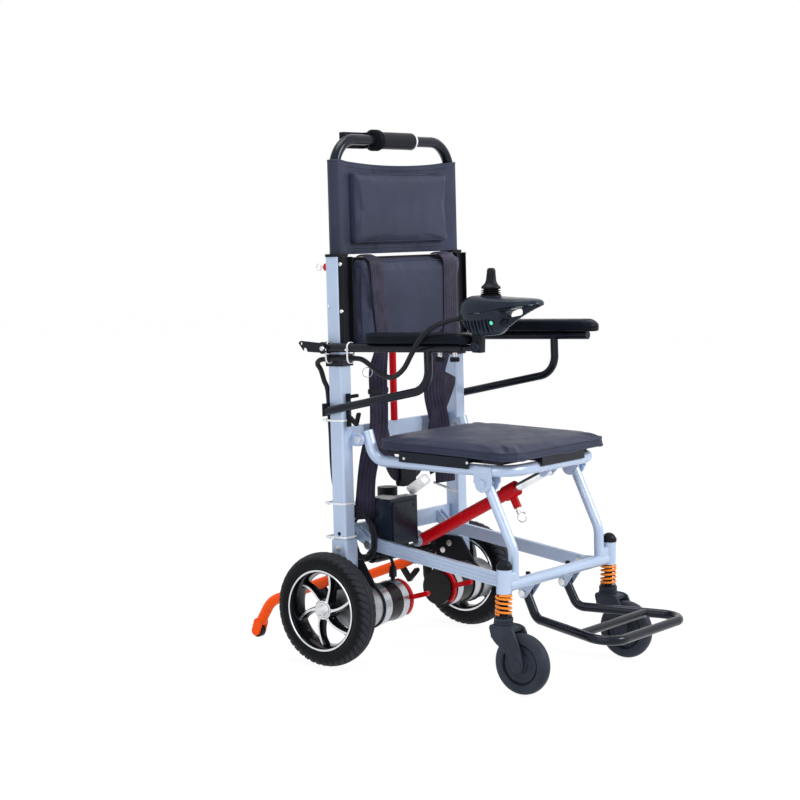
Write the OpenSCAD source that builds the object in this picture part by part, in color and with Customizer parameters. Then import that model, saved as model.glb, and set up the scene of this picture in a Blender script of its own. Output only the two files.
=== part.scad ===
// Stair climbing wheelchair: folding seat and front frame on two leaning posts, driven rear
// wheels, sprung swivel casters and a pair of swinging climb arms.
// Pieces are drawn about the foot of the rear axle, forward is -Y, and then moved so that
// the origin lies on the floor under the middle of the whole chair.

/* [Rear wheels] */
// Tyre outer diameter
wheel_d = 250; // [244:1:256]
// Tyre width
tyre_w = 52; // [48:1:54]
// Half distance between the tyre centre planes
half_track = 267.5; // [266:0.5:272]
// Diameter of the rim seat
rim_d = 168; // [160:1:176]
// Number of swirl spokes
spoke_count = 6; // [4:1:8]
// Drive axle diameter
axle_d = 17; // [14:1:20]

/* [Back posts] */
// Outer size of the square posts
post_size = 36; // [34:1:38]
// Wall of the square posts
post_wall = 2.5; // [2:0.5:3]
// Half distance between the post centres
post_x = 213; // [212:0.5:215]
// Backward lean of the posts in degrees
post_lean = 2.4; // [2:0.1:3]
// Lower end of the posts
post_foot = 185; // [183:1:190]
// Upper end of the posts
post_top = 888; // [880:1:896]
// Diameter of the side accessory holes
side_hole_d = 9; // [6:0.5:11]
// Height of the side accessory holes
side_hole_z = 286; // [280:1:300]

/* [Push handle] */
// Handle tube diameter
handle_d = 24; // [22:1:26]
// Height of the push bar
handle_top = 1141; // [1120:1:1160]
// Bend radius of the handle corners
handle_bend = 70; // [60:1:90]
// Length of the handle legs hidden in the posts
handle_sunk = 215; // [205:1:230]
// Grip diameter
grip_d = 38; // [34:1:42]
// Head rest sling height
sling_h = 190; // [170:1:200]

/* [Seat] */
// Seat tube diameter
seat_tube_d = 25; // [23:1:26]
// Half width between the seat tubes
seat_x = 178; // [177:0.5:179]
// Height of the seat tubes
seat_tube_z = 449; // [446:1:452]
// Cushion width
cushion_w = 394; // [370:1:400]
// Cushion depth
cushion_l = 356; // [330:1:360]
// Cushion edge thickness
cushion_h = 21; // [18:1:26]
// Crown of the cushion above its edge
cushion_crown = 9; // [5:1:12]

/* [Folding linkage] */
// Seat pivot ahead of the axle
seat_pivot_y = -29; // [-30:0.5:-28]
// Seat pivot height
seat_pivot_z = 491; // [489:0.5:493]
// Rail rear pivot ahead of the axle
rail_rear_y = -30; // [-31:0.5:-29]
// Rail rear pivot height
rail_rear_z = 257; // [255:0.5:259]
// Rail front pivot ahead of the axle
rail_front_y = -386; // [-387:0.5:-385]
// Rail front pivot height
rail_front_z = 216; // [215:0.5:217]
// Leg pivot ahead of the axle
leg_pivot_y = -350; // [-351:0.5:-349]
// Leg pivot height
leg_pivot_z = 424; // [423:0.5:425]
// Rail height
rail_h = 28; // [26:1:30]
// Rail thickness
rail_t = 12; // [10:1:13]

/* [Lock strut] */
// Strut tube diameter
strut_d = 28; // [26:1:30]
// Strut rod diameter
strut_rod_d = 18; // [16:1:19]
// Strut lower pivot ahead of the axle
strut_low_y = -58; // [-60:1:-56]
// Strut lower pivot height
strut_low_z = 247; // [245:1:249]
// Strut upper pivot ahead of the axle
strut_top_y = -388; // [-390:1:-386]
// Strut upper pivot height
strut_top_z = 433; // [431:1:435]

/* [Front frame and casters] */
// Leg tube diameter
leg_d = 22; // [20:1:23]
// Half distance between the legs
leg_x = 170; // [169:0.5:171]
// Caster stem position ahead of the axle
stem_y = -422; // [-424:1:-420]
// Half distance between the caster stems
stem_x = 209; // [208:0.5:211]
// Stem housing diameter
housing_d = 32; // [30:1:34]
// Caster wheel diameter
caster_d = 128; // [124:1:130]
// Caster wheel width
caster_w = 30; // [26:1:32]
// Distance of the caster axle ahead of its stem
caster_trail = 49; // [44:1:52]
// Suspension spring outer diameter
spring_d = 36; // [34:1:38]
// Suspension spring wire diameter
spring_wire = 4.4; // [3.5:0.1:5]

/* [Footrest] */
// Footrest tube diameter
foot_tube_d = 20; // [18:1:22]
// Footrest hinge ahead of the axle
foot_hinge_y = -393; // [-394:0.5:-392]
// Footrest hinge height
foot_hinge_z = 183; // [182:0.5:184]
// Half distance between the footrest hinges
foot_hinge_x = 79; // [76:0.5:82]
// Front bar position ahead of the axle
foot_front_y = -652; // [-660:1:-630]
// Half width of the front bar corners
foot_half = 168; // [150:1:172]

/* [Armrests] */
// Armrest tube diameter
arm_tube_d = 20; // [18:1:20]
// Half distance between the armrest tubes
arm_x = 243.5; // [243:0.5:246]
// Armrest pivot behind the axle
arm_pivot_y = 27; // [26:0.5:28]
// Armrest pivot height
arm_pivot_z = 692; // [690:1:694]
// Armrest length ahead of its pivot
arm_len = 358; // [340:1:364]
// Rise of the armrest towards the front in degrees
arm_rise = 3.04; // [2.5:0.1:4]
// Pad length
pad_l = 275; // [250:1:290]
// Pad width
pad_w = 54; // [48:1:60]
// Pad thickness
pad_h = 21; // [18:1:26]

/* [Drive and climb arms] */
// Motor axis ahead of the axle
motor_y = -50; // [-52:0.5:-48]
// Motor can diameter
motor_d = 88; // [84:1:92]
// Inner end of the motors from the middle
motor_in = 70; // [66:1:76]
// Climb shaft behind the axle
climb_y = 38; // [36:1:40]
// Climb shaft height
climb_z = 206; // [204:1:208]
// Half distance between the climb arms
climb_x = 150; // [148:1:152]
// Climb arm section diameter
climb_d = 24; // [22:1:26]
// Climb roller diameter
roller_d = 30; // [28:1:31]
// Roller centre behind the axle
roller_y = 297; // [290:1:300]

/* [Hidden] */
$fn = 48;
run = 0.05;
gap = 0.5;
wheel_r = wheel_d / 2;
axle_r = axle_d / 2;
rim_r = rim_d / 2;
sleeve_size = 43;
sleeve_top = 273;
plate_out = post_x - sleeve_size / 2;
plate_in = plate_out - 6;
roller_r = roller_d / 2;
roller_z = roller_r + 1;
foot_r = foot_tube_d / 2;
axle_y = -(foot_front_y - foot_r + roller_y + roller_r) / 2;
post_half = post_size / 2;
post_foot_y = 11.2 - 640 * tan(post_lean);
handle_r = handle_d / 2;
seat_r = seat_tube_d / 2;
pin_r = 5;
eye_r = 12;
leg_r = leg_d / 2;
cross_r = 12.5;
cross_z = 218;
housing_r = housing_d / 2;
housing_low = 205;
housing_high = 256;
stem_r = 9;
collar_z = 160;
caster_r = caster_d / 2;
caster_y = stem_y - caster_trail;
arm_r = arm_tube_d / 2;
support_r = 9;
strut_dy = strut_top_y - strut_low_y;
strut_dz = strut_top_z - strut_low_z;
strut_len = norm([strut_dy, strut_dz]);
strut_rise = atan2(strut_dz, -strut_dy);
strut_r = strut_d / 2;
rod_r = strut_rod_d / 2;
cushion_y = -65 - cushion_l / 2;
cushion_z = 485.6;
sling_low = 898;
grip_x = 64;
silver = [0.74, 0.8, 0.88];
black = [0.09, 0.09, 0.1];
grey = [0.5, 0.52, 0.55];
steel = [0.68, 0.7, 0.72];
red = [0.85, 0.04, 0.1];
orange = [0.98, 0.38, 0.05];
slate = [0.22, 0.25, 0.32];
webbing = [0.17, 0.15, 0.2];
rubber = [0.12, 0.12, 0.13];

function unit(v) = v / norm(v);
function last(v) = len(v) - 1;

// Moves a piece from the rear axle frame to the frame of the whole chair
module placed() {
    translate([0, axle_y, 0]) children();
}

// Left side as drawn, or its mirror image on the right
module on_side(right) {
    mirror([right ? 1 : 0, 0, 0]) children();
}

module both_sides() {
    on_side(false) children();
    on_side(true) children();
}

// Frame of the leaning back: Z runs up the posts, the post centre is at Y = 0
module back_frame() {
    translate([0, post_foot_y, 0]) rotate([-post_lean, 0, 0]) children();
}

// Outline in Y and Z, given thickness from x0 to x1
module yz(x0, x1) {
    translate([x0, 0, 0]) rotate([90, 0, 90]) linear_extrude(x1 - x0) children();
}

module rod_x(r, x0, x1, y, z) {
    translate([x0, y, z]) rotate([0, 90, 0]) cylinder(r = r, h = x1 - x0);
}

module box(lo, hi) {
    translate(lo) cube(hi - lo);
}

module dot(p, r) {
    translate(p) circle(r);
}

// Straight link with round ends that stand a hair proud of its sides
module link(p, q, r) {
    half = 0.994 * r;
    dot(p, r);
    dot(q, r);
    translate(p) rotate(atan2(q[1] - p[1], q[0] - p[0]))
        translate([0, -half]) square([norm(q - p), 2 * half]);
}

module rounded(w, h, r) {
    square([w - 2 * r, h], center = true);
    square([w, h - 2 * r], center = true);
    for (sx = [-1, 1], sy = [-1, 1]) dot([sx * (w / 2 - r), sy * (h / 2 - r)], r);
}

module square_tube(size, wall) {
    difference() {
        rounded(size, size, 5);
        rounded(size - 2 * wall, size - 2 * wall, 5 - wall);
    }
}

module ring(r, wall) {
    difference() {
        circle(r);
        if (wall < r) circle(r - wall);
    }
}

// Rigid frame with its axes along ex, ey and ez at point c
module framed(c, ex, ey, ez) {
    multmatrix([
        [ex[0], ey[0], ez[0], c[0]],
        [ex[1], ey[1], ez[1], c[1]],
        [ex[2], ey[2], ez[2], c[2]],
        [0, 0, 0, 1]
    ]) children();
}

function side_of(d) = unit(cross(d, abs(d[2]) > 0.9 ? [1, 0, 0] : [0, 0, 1]));
function turn(p, i) = acos(unit(p[i] - p[i - 1]) * unit(p[i + 1] - p[i]));
function bend_cut(p, r, i) = i < 1 || i > last(p) - 1 ? 0 : r[i] * tan(turn(p, i) / 2);

// Tube along points p, bent with radius r[i] at point i; a wall as large as the radius is solid.
// A thin weld collar covers each seam between a straight length and a bend.
module bent_tube(p, r, tube_r, wall) {
    seam = 0.3;
    for (i = [1:last(p)]) {
        d = unit(p[i] - p[i - 1]);
        n = side_of(d);
        cut_a = bend_cut(p, r, i - 1);
        cut_b = bend_cut(p, r, i);
        a = p[i - 1] + d * (cut_a + (cut_a > 0 ? seam : 0));
        b = p[i] - d * (cut_b + (cut_b > 0 ? seam : 0));
        framed(a, n, cross(d, n), d) linear_extrude(norm(b - a)) ring(tube_r, wall);
        if (cut_a > 0) framed(p[i - 1] + d * (cut_a - 2 * seam), n, cross(d, n), d)
            linear_extrude(4 * seam) ring(tube_r + seam / 2, wall + seam);
        if (cut_b > 0) framed(p[i] - d * (cut_b + 2 * seam), n, cross(d, n), d)
            linear_extrude(4 * seam) ring(tube_r + seam / 2, wall + seam);
    }
    for (i = [1:1:last(p) - 1]) {
        d = unit(p[i] - p[i - 1]);
        e = unit(p[i + 1] - p[i]);
        inward = unit(e - d * (d * e));
        start = p[i] - d * bend_cut(p, r, i);
        framed(start + inward * r[i], -inward, d, cross(-inward, d))
            rotate_extrude(angle = turn(p, i)) translate([r[i], 0]) ring(tube_r, wall);
    }
}

// Closed surface over rings of k points
module skin(rings, k) {
    n = len(rings);
    polyhedron(
        points = [for (g = rings, p = g) p],
        faces = concat(
            [[for (j = [0:k - 1]) j]],
            [[for (j = [0:k - 1]) n * k - 1 - j]],
            [for (i = [0:n - 2], j = [0:k - 1])
                [i * k + j, (i + 1) * k + j, i * k + (j + 1) % k]],
            [for (i = [0:n - 2], j = [0:k - 1])
                [(i + 1) * k + j, (i + 1) * k + (j + 1) % k, i * k + (j + 1) % k]]
        )
    );
}

function tangent(p, i) = unit(p[min(i + 1, last(p))] - p[max(i - 1, 0)]);
function circle_ring(c, n, b, r, k) =
    [for (j = [0:k - 1]) c + r * (n * cos(360 * j / k) + b * sin(360 * j / k))];

// Catmull curve through hand chosen points, m steps for each span
function curve_point(p, i, t) =
    let (a = p[max(i - 1, 0)], b = p[i], c = p[i + 1], d = p[min(i + 2, last(p))])
    0.5 * (2 * b + t * (c - a) + t * t * (2 * a - 5 * b + 4 * c - d)
        + t * t * t * (3 * b - a - 3 * c + d));
function curve(p, m) = concat(
    [for (i = [0:last(p) - 1], s = [0:m - 1]) curve_point(p, i, s / m)], [p[last(p)]]);

module cord(p, r, k) {
    skin([for (i = [0:last(p)])
        let (t = tangent(p, i), n = unit(cross([0.3, 0.2, 0.93], t)))
        circle_ring(p[i], n, cross(t, n), r, k)], k);
}

// Flat strap along points p; across[i] is its width vector there
module strap(p, across, w, t) {
    skin([for (i = [0:last(p)])
        let (d = tangent(p, i), n = unit(cross(d, across)), s = unit(cross(n, d)))
        [p[i] - s * w / 2 - n * t / 2, p[i] - s * w / 2 + n * t / 2,
         p[i] + s * w / 2 + n * t / 2, p[i] + s * w / 2 - n * t / 2]], 4);
}

// Closed slab between a front and a back grid of the same size
module slab(f, b) {
    m = len(f);
    n = len(f[0]);
    o = m * n;
    edge = concat(
        [for (j = [0:n - 2]) j],
        [for (i = [0:m - 2]) i * n + n - 1],
        [for (j = [0:n - 2]) o - 1 - j],
        [for (i = [0:m - 2]) (m - 1 - i) * n]
    );
    q = len(edge);
    polyhedron(
        points = concat([for (r = f, p = r) p], [for (r = b, p = r) p]),
        faces = concat(
            [for (i = [0:m - 2], j = [0:n - 2]) [i * n + j, i * n + j + 1, (i + 1) * n + j + 1]],
            [for (i = [0:m - 2], j = [0:n - 2]) [i * n + j, (i + 1) * n + j + 1, (i + 1) * n + j]],
            [for (i = [0:m - 2], j = [0:n - 2])
                [o + i * n + j, o + (i + 1) * n + j + 1, o + i * n + j + 1]],
            [for (i = [0:m - 2], j = [0:n - 2])
                [o + i * n + j, o + (i + 1) * n + j, o + (i + 1) * n + j + 1]],
            [for (e = [0:q - 1]) [edge[e], o + edge[e], o + edge[(e + 1) % q]]],
            [for (e = [0:q - 1]) [edge[e], o + edge[(e + 1) % q], edge[(e + 1) % q]]]
        )
    );
}

// Padded block: width in X, length in Y, drawn-in corners, crowned top
function pad_steps(n) = [for (i = [0:n]) sin(90 * (2 * i / n - 1))];
function puff(s, t) = pow((1 - pow(s, 6)) * (1 - pow(t, 6)), 0.34);
function pad_point(w, l, s, t, z) =
    [w / 2 * s * (1 - 0.05 * pow(t, 8)), l / 2 * t * (1 - 0.05 * pow(s, 8)), z];

module padded_block(w, l, h, crown, n, m) {
    slab(
        [for (s = pad_steps(n)) [for (t = pad_steps(m))
            pad_point(w, l, s, t, 0.5 + (h / 2 - 0.5) * puff(s, t)
                + crown * (1 - s * s) * (1 - t * t))]],
        [for (s = pad_steps(n)) [for (t = pad_steps(m))
            pad_point(w, l, s, t, -0.5 - (h / 2 - 0.5) * puff(s, t))]]
    );
}

// Rear wheels

module tyre_shape() {
    tread_arc = 45;
    lip = 5.5;
    difference() {
        intersection() {
            dot([wheel_r - tread_arc, 0], tread_arc);
            translate([rim_r, -tyre_w / 2]) square([wheel_r, tyre_w]);
        }
        for (s = [-1, 1]) translate([rim_r + lip / 2, s * tyre_w / 2]) square([lip, 11], center = true);
    }
}

module wheel_turned() {
    translate([half_track, 0, wheel_r]) rotate([0, 90, 0]) children();
}

module tyre(right) {
    color(rubber) placed() on_side(right) wheel_turned() rotate_extrude() tyre_shape();
}

// One swirl spoke: part of a ring that passes through the wheel centre
module spoke() {
    swirl = 80;
    half_w = 4.5;
    intersection() {
        translate([0, -swirl]) ring(swirl + half_w, 2 * half_w);
        translate([0, -rim_r]) square([rim_r, 2 * rim_r]);
        ring(rim_r - 5, rim_r - 22);
    }
}

module wheel(right) {
    lip_r = rim_r + 5.2;
    barrel = 7;
    color(black) placed() on_side(right) wheel_turned() {
        rotate_extrude() {
            translate([rim_r - barrel, -24]) square([barrel, 48]);
            translate([rim_r - barrel, 20.8]) square([lip_r - rim_r + barrel, 4.2]);
            translate([rim_r - barrel, -25]) square([lip_r - rim_r + barrel, 4.2]);
        }
        linear_extrude(13)
            for (i = [1:spoke_count]) rotate(i * 360 / spoke_count) spoke();
        translate([0, 0, -20]) cylinder(r = 23, h = 34);
        translate([0, 0, 14]) cylinder(r = 17, h = 3);
        translate([0, 0, 17]) cylinder(r = 13, h = 7, $fn = 6);
        translate([0, 0, -70]) cylinder(r = axle_r, h = 96);
    }
}

// Posts and back

module post_place() {
    both_sides() back_frame() translate([post_x, 0, 0]) children();
}

module back_posts() {
    plunger_z = 866;
    color(silver) placed() {
        post_place() difference() {
            translate([0, 0, post_foot]) linear_extrude(post_top - post_foot)
                square_tube(post_size, post_wall);
            rod_x(side_hole_d / 2, post_half - 2 * post_wall, post_half + 1, 0, side_hole_z);
            translate([0, post_half - 2 * post_wall, plunger_z]) rotate([-90, 0, 0])
                cylinder(r = 5.1, h = 4 * post_wall);
        }
        both_sides() difference() {
            yz(post_x - post_half - 2, post_x - post_half + 4) {
                dot([seat_pivot_y, seat_pivot_z], 14);
                translate([seat_pivot_y, seat_pivot_z - 14]) square([19, 28]);
            }
            rod_x(pin_r, 0, half_track, seat_pivot_y, seat_pivot_z);
        }
    }
}

module post_sleeves() {
    color(silver) placed() post_place() difference() {
        translate([0, 0, post_foot]) linear_extrude(sleeve_top - post_foot) difference() {
            rounded(sleeve_size, sleeve_size, 6);
            rounded(post_size, post_size, 5);
        }
        rod_x(side_hole_d / 2, post_half, sleeve_size, 0, side_hole_z);
    }
}

module post_fittings() {
    plug = post_size - 2 * post_wall;
    channel_low = 690;
    channel_d = 12;
    color(black) placed() {
        post_place() difference() {
            union() {
                translate([0, 0, post_top - 40]) linear_extrude(40) rounded(plug, plug, 2.5);
                translate([0, 0, post_top]) linear_extrude(6) rounded(post_size + 3, post_size + 3, 6);
            }
            translate([0, 0, post_top - 50]) cylinder(r = handle_r + run, h = 70);
            translate([0, 5, 866]) rotate([-90, 0, 0]) cylinder(r = 5.1, h = post_half);
        }
        post_place() translate([0, 0, channel_low]) linear_extrude(post_top - channel_low - gap) {
            translate([-post_half, -post_half - 3]) square([post_size, 3]);
            translate([-post_half, -post_half - channel_d]) square([2.5, channel_d]);
            translate([post_half - 2.5, -post_half - channel_d]) square([2.5, channel_d]);
        }
        back_frame() yz(-post_x - 4, -post_x + 4) {
            translate([-post_half - 7, 520]) square([7, 72]);
            link([-post_half - 7, 585], [-post_half - 26, 588], 4);
            link([-post_half - 7, 540], [-post_half - 24, 526], 4);
            link([-post_half - 24, 526], [-post_half - 31, 548], 3.5);
        }
    }
}

module seat_cross_bar() {
    half = post_x - post_half;
    color(silver) placed() back_frame() difference() {
        box([-half, 4, 482], [half, 16, 516]);
        box([-half + 3, 6.5, 479], [half - 3, 13.5, 513]);
    }
}

// Rail and strut lugs are welded to this bar
module lower_cross_bar() {
    half = post_x - post_half;
    bar_y = 3;
    color(silver) placed() {
        back_frame() difference() {
            box([-half, 5, 263], [half, 17, 299]);
            both_sides() box([plate_out, 4, 262], [half + 1, 18, sleeve_top]);
        }
        both_sides() for (x = [climb_x - rail_t / 2 - gap - 4, climb_x + rail_t / 2 + gap])
            difference() {
                yz(x, x + 4) {
                    dot([rail_rear_y, rail_rear_z], 14);
                    link([rail_rear_y, rail_rear_z], [bar_y, 272], 8);
                    link([rail_rear_y, rail_rear_z], [bar_y, 284], 8);
                }
                rod_x(pin_r, x - 1, x + 5, rail_rear_y, rail_rear_z);
            }
        for (x = [-19, 15]) difference() {
            yz(x, x + 4) {
                dot([strut_low_y, strut_low_z], 13);
                link([strut_low_y, strut_low_z], [bar_y, 271], 8);
            }
            rod_x(pin_r, x - 1, x + 5, strut_low_y, strut_low_z);
        }
    }
}

module centre_stay() {
    stay_r = 8;
    color(red) placed() back_frame() {
        translate([-14, 6, 516]) cylinder(r = stay_r, h = 190);
        box([-30, -14, 692], [2, 6, 704]);
    }
}

module back_board() {
    half = post_x - post_half;
    color(black) placed() back_frame() difference() {
        box([-half, -20, 690], [half, -14, 886]);
        for (x = [-150, 150], z = [720, 850]) translate([x, -21, z]) rotate([-90, 0, 0])
            cylinder(r = 3, h = 8);
    }
}

module back_pad() {
    color(slate) placed() back_frame() translate([0, -33, 787]) rotate([90, 0, 0])
        padded_block(378, 196, 25, 7, 16, 14);
}

module harness() {
    w = 44;
    t = 2.2;
    across = [1, 0, 0];
    near = [[-166, -17, 887.4], [-166, -31, 890], [-167, -44, 879], [-164, -50, 850], [-148, -54.5, 780],
        [-130, -51, 705], [-122, -40, 672], [-112, -25, 630], [-104, -21, 560], [-108, -20, 500],
        [-128, -14, 455], [-142, -9, 400], [-146, -8, 345], [-144, -4, 316], [-140, 2, 309], [-136, 8, 318],
        [-128, 9, 350], [-120, 8, 400], [-112, 6, 440], [-102, 4, 470]];
    far = [[140, -17, 887.4], [140, -31, 890], [140, -44, 879], [139, -51, 850], [137, -54.5, 780],
        [134, -51, 705], [130, -40, 672], [118, -27, 630], [112, -24, 575], [128, -24, 520], [134, -22, 470]];
    far_cross = [[170, -9, 652], [158, -10, 620], [138, -12, 585], [118, -12, 545], [110, -12, 500],
        [112, -11, 455], [120, -8, 410], [128, -6, 385]];
    lap = [[-74, -4, 500], [-58, -5, 450], [-30, -5, 402], [10, -5, 395], [50, -5, 400],
        [76, -4, 430], [84, -3, 480]];
    color(webbing) placed() back_frame() {
        strap(curve(near, 3), across, w, t);
        strap(curve(far, 3), across, w, t);
        strap(curve(far_cross, 3), across, w, t);
        strap(curve(lap, 3), [0, 0, 1], 38, t);
    }
}

module belt_buckles() {
    color(black) placed() back_frame() {
        difference() {
            translate([10, -5, 396]) rotate([90, 0, 0]) linear_extrude(16, center = true)
                rounded(56, 62, 8);
            box([-30, -7, 370], [50, -3, 422]);
        }
        difference() {
            translate([-107, -22.4, 590]) rotate([90, 0, 0]) linear_extrude(10, center = true)
                rounded(62, 12, 3);
            box([-133, -25.2, 580], [-81, -19.6, 600]);
        }
    }
}

module battery_box() {
    color(black) placed() back_frame() difference() {
        translate([0, 0, 236]) linear_extrude(116) polygon([[-114, 5], [-114, -26], [-110, -30], [-66, -30],
            [-66, 5]]);
        box([-106, -31, 250], [-74, -28, 254]);
        box([-106, -31, 334], [-74, -28, 338]);
    }
}

module controller_box() {
    color(black) placed() back_frame() {
        box([-126, -62, 248], [-27, -30, 352]);
        box([-66, -30, 248], [-27, -18, 330]);
        translate([-76.5, -62, 300]) rotate([90, 0, 0]) linear_extrude(4) rounded(88, 86, 6);
        for (z = [268, 332], x = [-110, -43]) translate([x, -66, z]) rotate([90, 0, 0])
            cylinder(r = 2.5, h = 1.5);
    }
}

// Drive

module drive_gearboxes() {
    gear_out = 234;
    color(grey) placed() both_sides() difference() {
        union() {
            yz(plate_out, gear_out) {
                dot([motor_y, wheel_r], 47);
                dot([0, wheel_r], 34);
                polygon([[motor_y, wheel_r + 47], [0, wheel_r + 34], [0, wheel_r - 34],
                    [motor_y, wheel_r - 47]]);
            }
            rod_x(40, gear_out, gear_out + 2, motor_y, wheel_r);
        }
        rod_x(axle_r + run, 196, gear_out + 1, 0, wheel_r);
    }
}

module drive_motors() {
    color(steel) placed() both_sides() {
        rod_x(39, motor_in, motor_in + 22, motor_y, wheel_r);
        rod_x(motor_d / 2 + 1, motor_in + 22, motor_in + 44, motor_y, wheel_r);
        rod_x(motor_d / 2, motor_in + 44, motor_in + 88, motor_y, wheel_r);
        rod_x(motor_d / 2 + 3, motor_in + 88, plate_in, motor_y, wheel_r);
    }
}

module motor_plates() {
    color(black) placed() both_sides() difference() {
        yz(plate_in, plate_out) {
            dot([motor_y, wheel_r], 50);
            polygon([[motor_y - 49, wheel_r + 8], [-42, 216], [-34, 226], [30, 226], [38, 218], [34, 150],
                [motor_y + 30, wheel_r - 39]]);
        }
        rod_x(4, plate_in - 1, plate_out + 1, 20, 168);
    }
}

module climb_gearbox() {
    color(black) placed() difference() {
        union() {
            yz(-46, 46) dot([climb_y, climb_z], 16);
            back_frame() box([-44, 17, 214], [44, 66, 299]);
            back_frame() translate([0, 41.5, 299]) cylinder(r = 23, h = 62);
            for (x = [-62, 46]) rod_x(15, x, x + 16, climb_y, climb_z);
        }
        rod_x(9 + run, -70, 70, climb_y, climb_z);
    }
}

module brake_lever(right) {
    tip = [motor_y - 84, wheel_r + 22];
    color(red) placed() on_side(right) yz(motor_in + 8, motor_in + 18) difference() {
        union() {
            dot([motor_y, wheel_r], 45);
            link([motor_y - 40, wheel_r + 8], tip, 5.5);
        }
        dot([motor_y, wheel_r], 39.5);
        polygon([[motor_y, wheel_r], [motor_y - 60, wheel_r - 60], [motor_y + 70, wheel_r - 70],
            [motor_y + 60, wheel_r + 60], [motor_y, wheel_r + 60]]);
    }
}

// Climb arms turn together on one shaft

module climb_arms() {
    bar_r = climb_d / 2;
    fork = [roller_y - 6, 36];
    cheek = bar_r + 1;
    path = [[climb_x, climb_y, climb_z], [climb_x, 86, 161], [climb_x, 260, 89],
        [climb_x, fork[0], fork[1]]];
    color(orange) placed() {
        rod_x(9, -climb_x - 15, climb_x + 15, climb_y, climb_z);
        both_sides() {
            rod_x(19, climb_x - 13, climb_x + 13, climb_y, climb_z);
            difference() {
                bent_tube(path, [0, 50, 65, 0], bar_r, bar_r);
                rod_x(roller_r + 2, climb_x - 7, climb_x + 7, roller_y, roller_z);
            }
            for (x = [climb_x - cheek, climb_x + 7]) yz(x, x + cheek - 7)
                link(fork, [roller_y, roller_z], bar_r - 1);
            rod_x(4, climb_x - cheek, climb_x + cheek, roller_y, roller_z);
            yz(climb_x - 5, climb_x + 5) {
                link([112, 148], [86, 116], 6);
                link([86, 116], [66, 140], 5.5);
            }
        }
    }
}

module climb_roller(right) {
    color(black) placed() on_side(right) difference() {
        rod_x(roller_r, climb_x - 6.5, climb_x + 6.5, roller_y, roller_z);
        rod_x(4 + run, climb_x - 7, climb_x + 7, roller_y, roller_z);
    }
}

// Push handle and head rest

module handle_bar() {
    low = post_top - handle_sunk;
    path = [[-post_x, 0, low], [-post_x, 0, handle_top], [post_x, 0, handle_top], [post_x, 0, low]];
    color(black) placed() back_frame() bent_tube(path, [0, handle_bend, handle_bend, 0], handle_r, 2);
}

module handle_grip() {
    pod = [[-158, handle_r + 1, handle_top - 18], [-80, handle_r + 15, handle_top + 17]];
    color(black) placed() back_frame() difference() {
        union() {
            rod_x(grip_d / 2, -grip_x + 6, grip_x, 0, handle_top);
            rod_x(grip_d / 2 + 3, -grip_x - 12, -grip_x + 6, 0, handle_top);
            box(pod[0], pod[1]);
            box([-92, 0, handle_top - 17], [-grip_x - 8, handle_r + 15, handle_top + 17]);
        }
        rod_x(handle_r, -160, 160, 0, handle_top);
        box([-146, handle_r + 7, handle_top - 11], [-100, handle_r + 20, handle_top + 11]);
    }
}

module climb_switch() {
    y = handle_r + 13;
    color(grey) placed() back_frame() translate([-123, y, handle_top]) difference() {
        rod_x(7, -20, 20, 0, 0);
        box([-21, -8, -8], [21, -3.5, 8]);
    }
}

function sling_top(x) = 10 * (1 - pow(x / post_x, 2));
function sling_half(front) = front
    ? [[0, -3], [60, -3.2], [120, -4], [165, -6], [190, -10],
        [202, -13.8], [214, -14.8], [224, -11], [230, -4]]
    : [[0, 1.5], [60, 1.4], [120, 1.2], [165, 3], [190, 8],
        [202, 13.4], [214, 14.8], [224, 11], [230, 4]];
function sling_side(front) = concat(
    [for (i = [8:-1:1]) [-sling_half(front)[i][0], sling_half(front)[i][1]]], sling_half(front));

module head_sling() {
    rows = 8;
    grid = [for (front = [true, false]) [for (p = sling_side(front)) [for (i = [0:rows])
        [p[0], p[1], sling_low + i / rows * (sling_h - sling_top(p[0]))]]]];
    color(slate) placed() back_frame() difference() {
        slab(grid[0], grid[1]);
        both_sides() translate([post_x, 0, sling_low - 1]) cylinder(r = handle_r, h = sling_h + 2);
    }
}

module head_pad() {
    color(slate) placed() back_frame() translate([0, -12.2, 992]) rotate([90, 0, 0])
        padded_block(350, 160, 16, 6, 14, 12);
}

module lock_plunger() {
    z = 866;
    color(red) placed() back_frame() translate([-post_x, 0, z]) rotate([-90, 0, 0]) {
        translate([0, 0, handle_r + gap]) cylinder(r = 5, h = 14);
        translate([0, 0, post_half + gap + 1]) cylinder(r = 8.5, h = 12);
        translate([0, 0, post_half + 12]) cylinder(r = 4, h = 14);
        translate([0, 0, post_half + 31.5]) rotate([0, 90, 0]) rotate_extrude() translate([7, 0]) circle(1.3);
    }
}

// Seat

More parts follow.
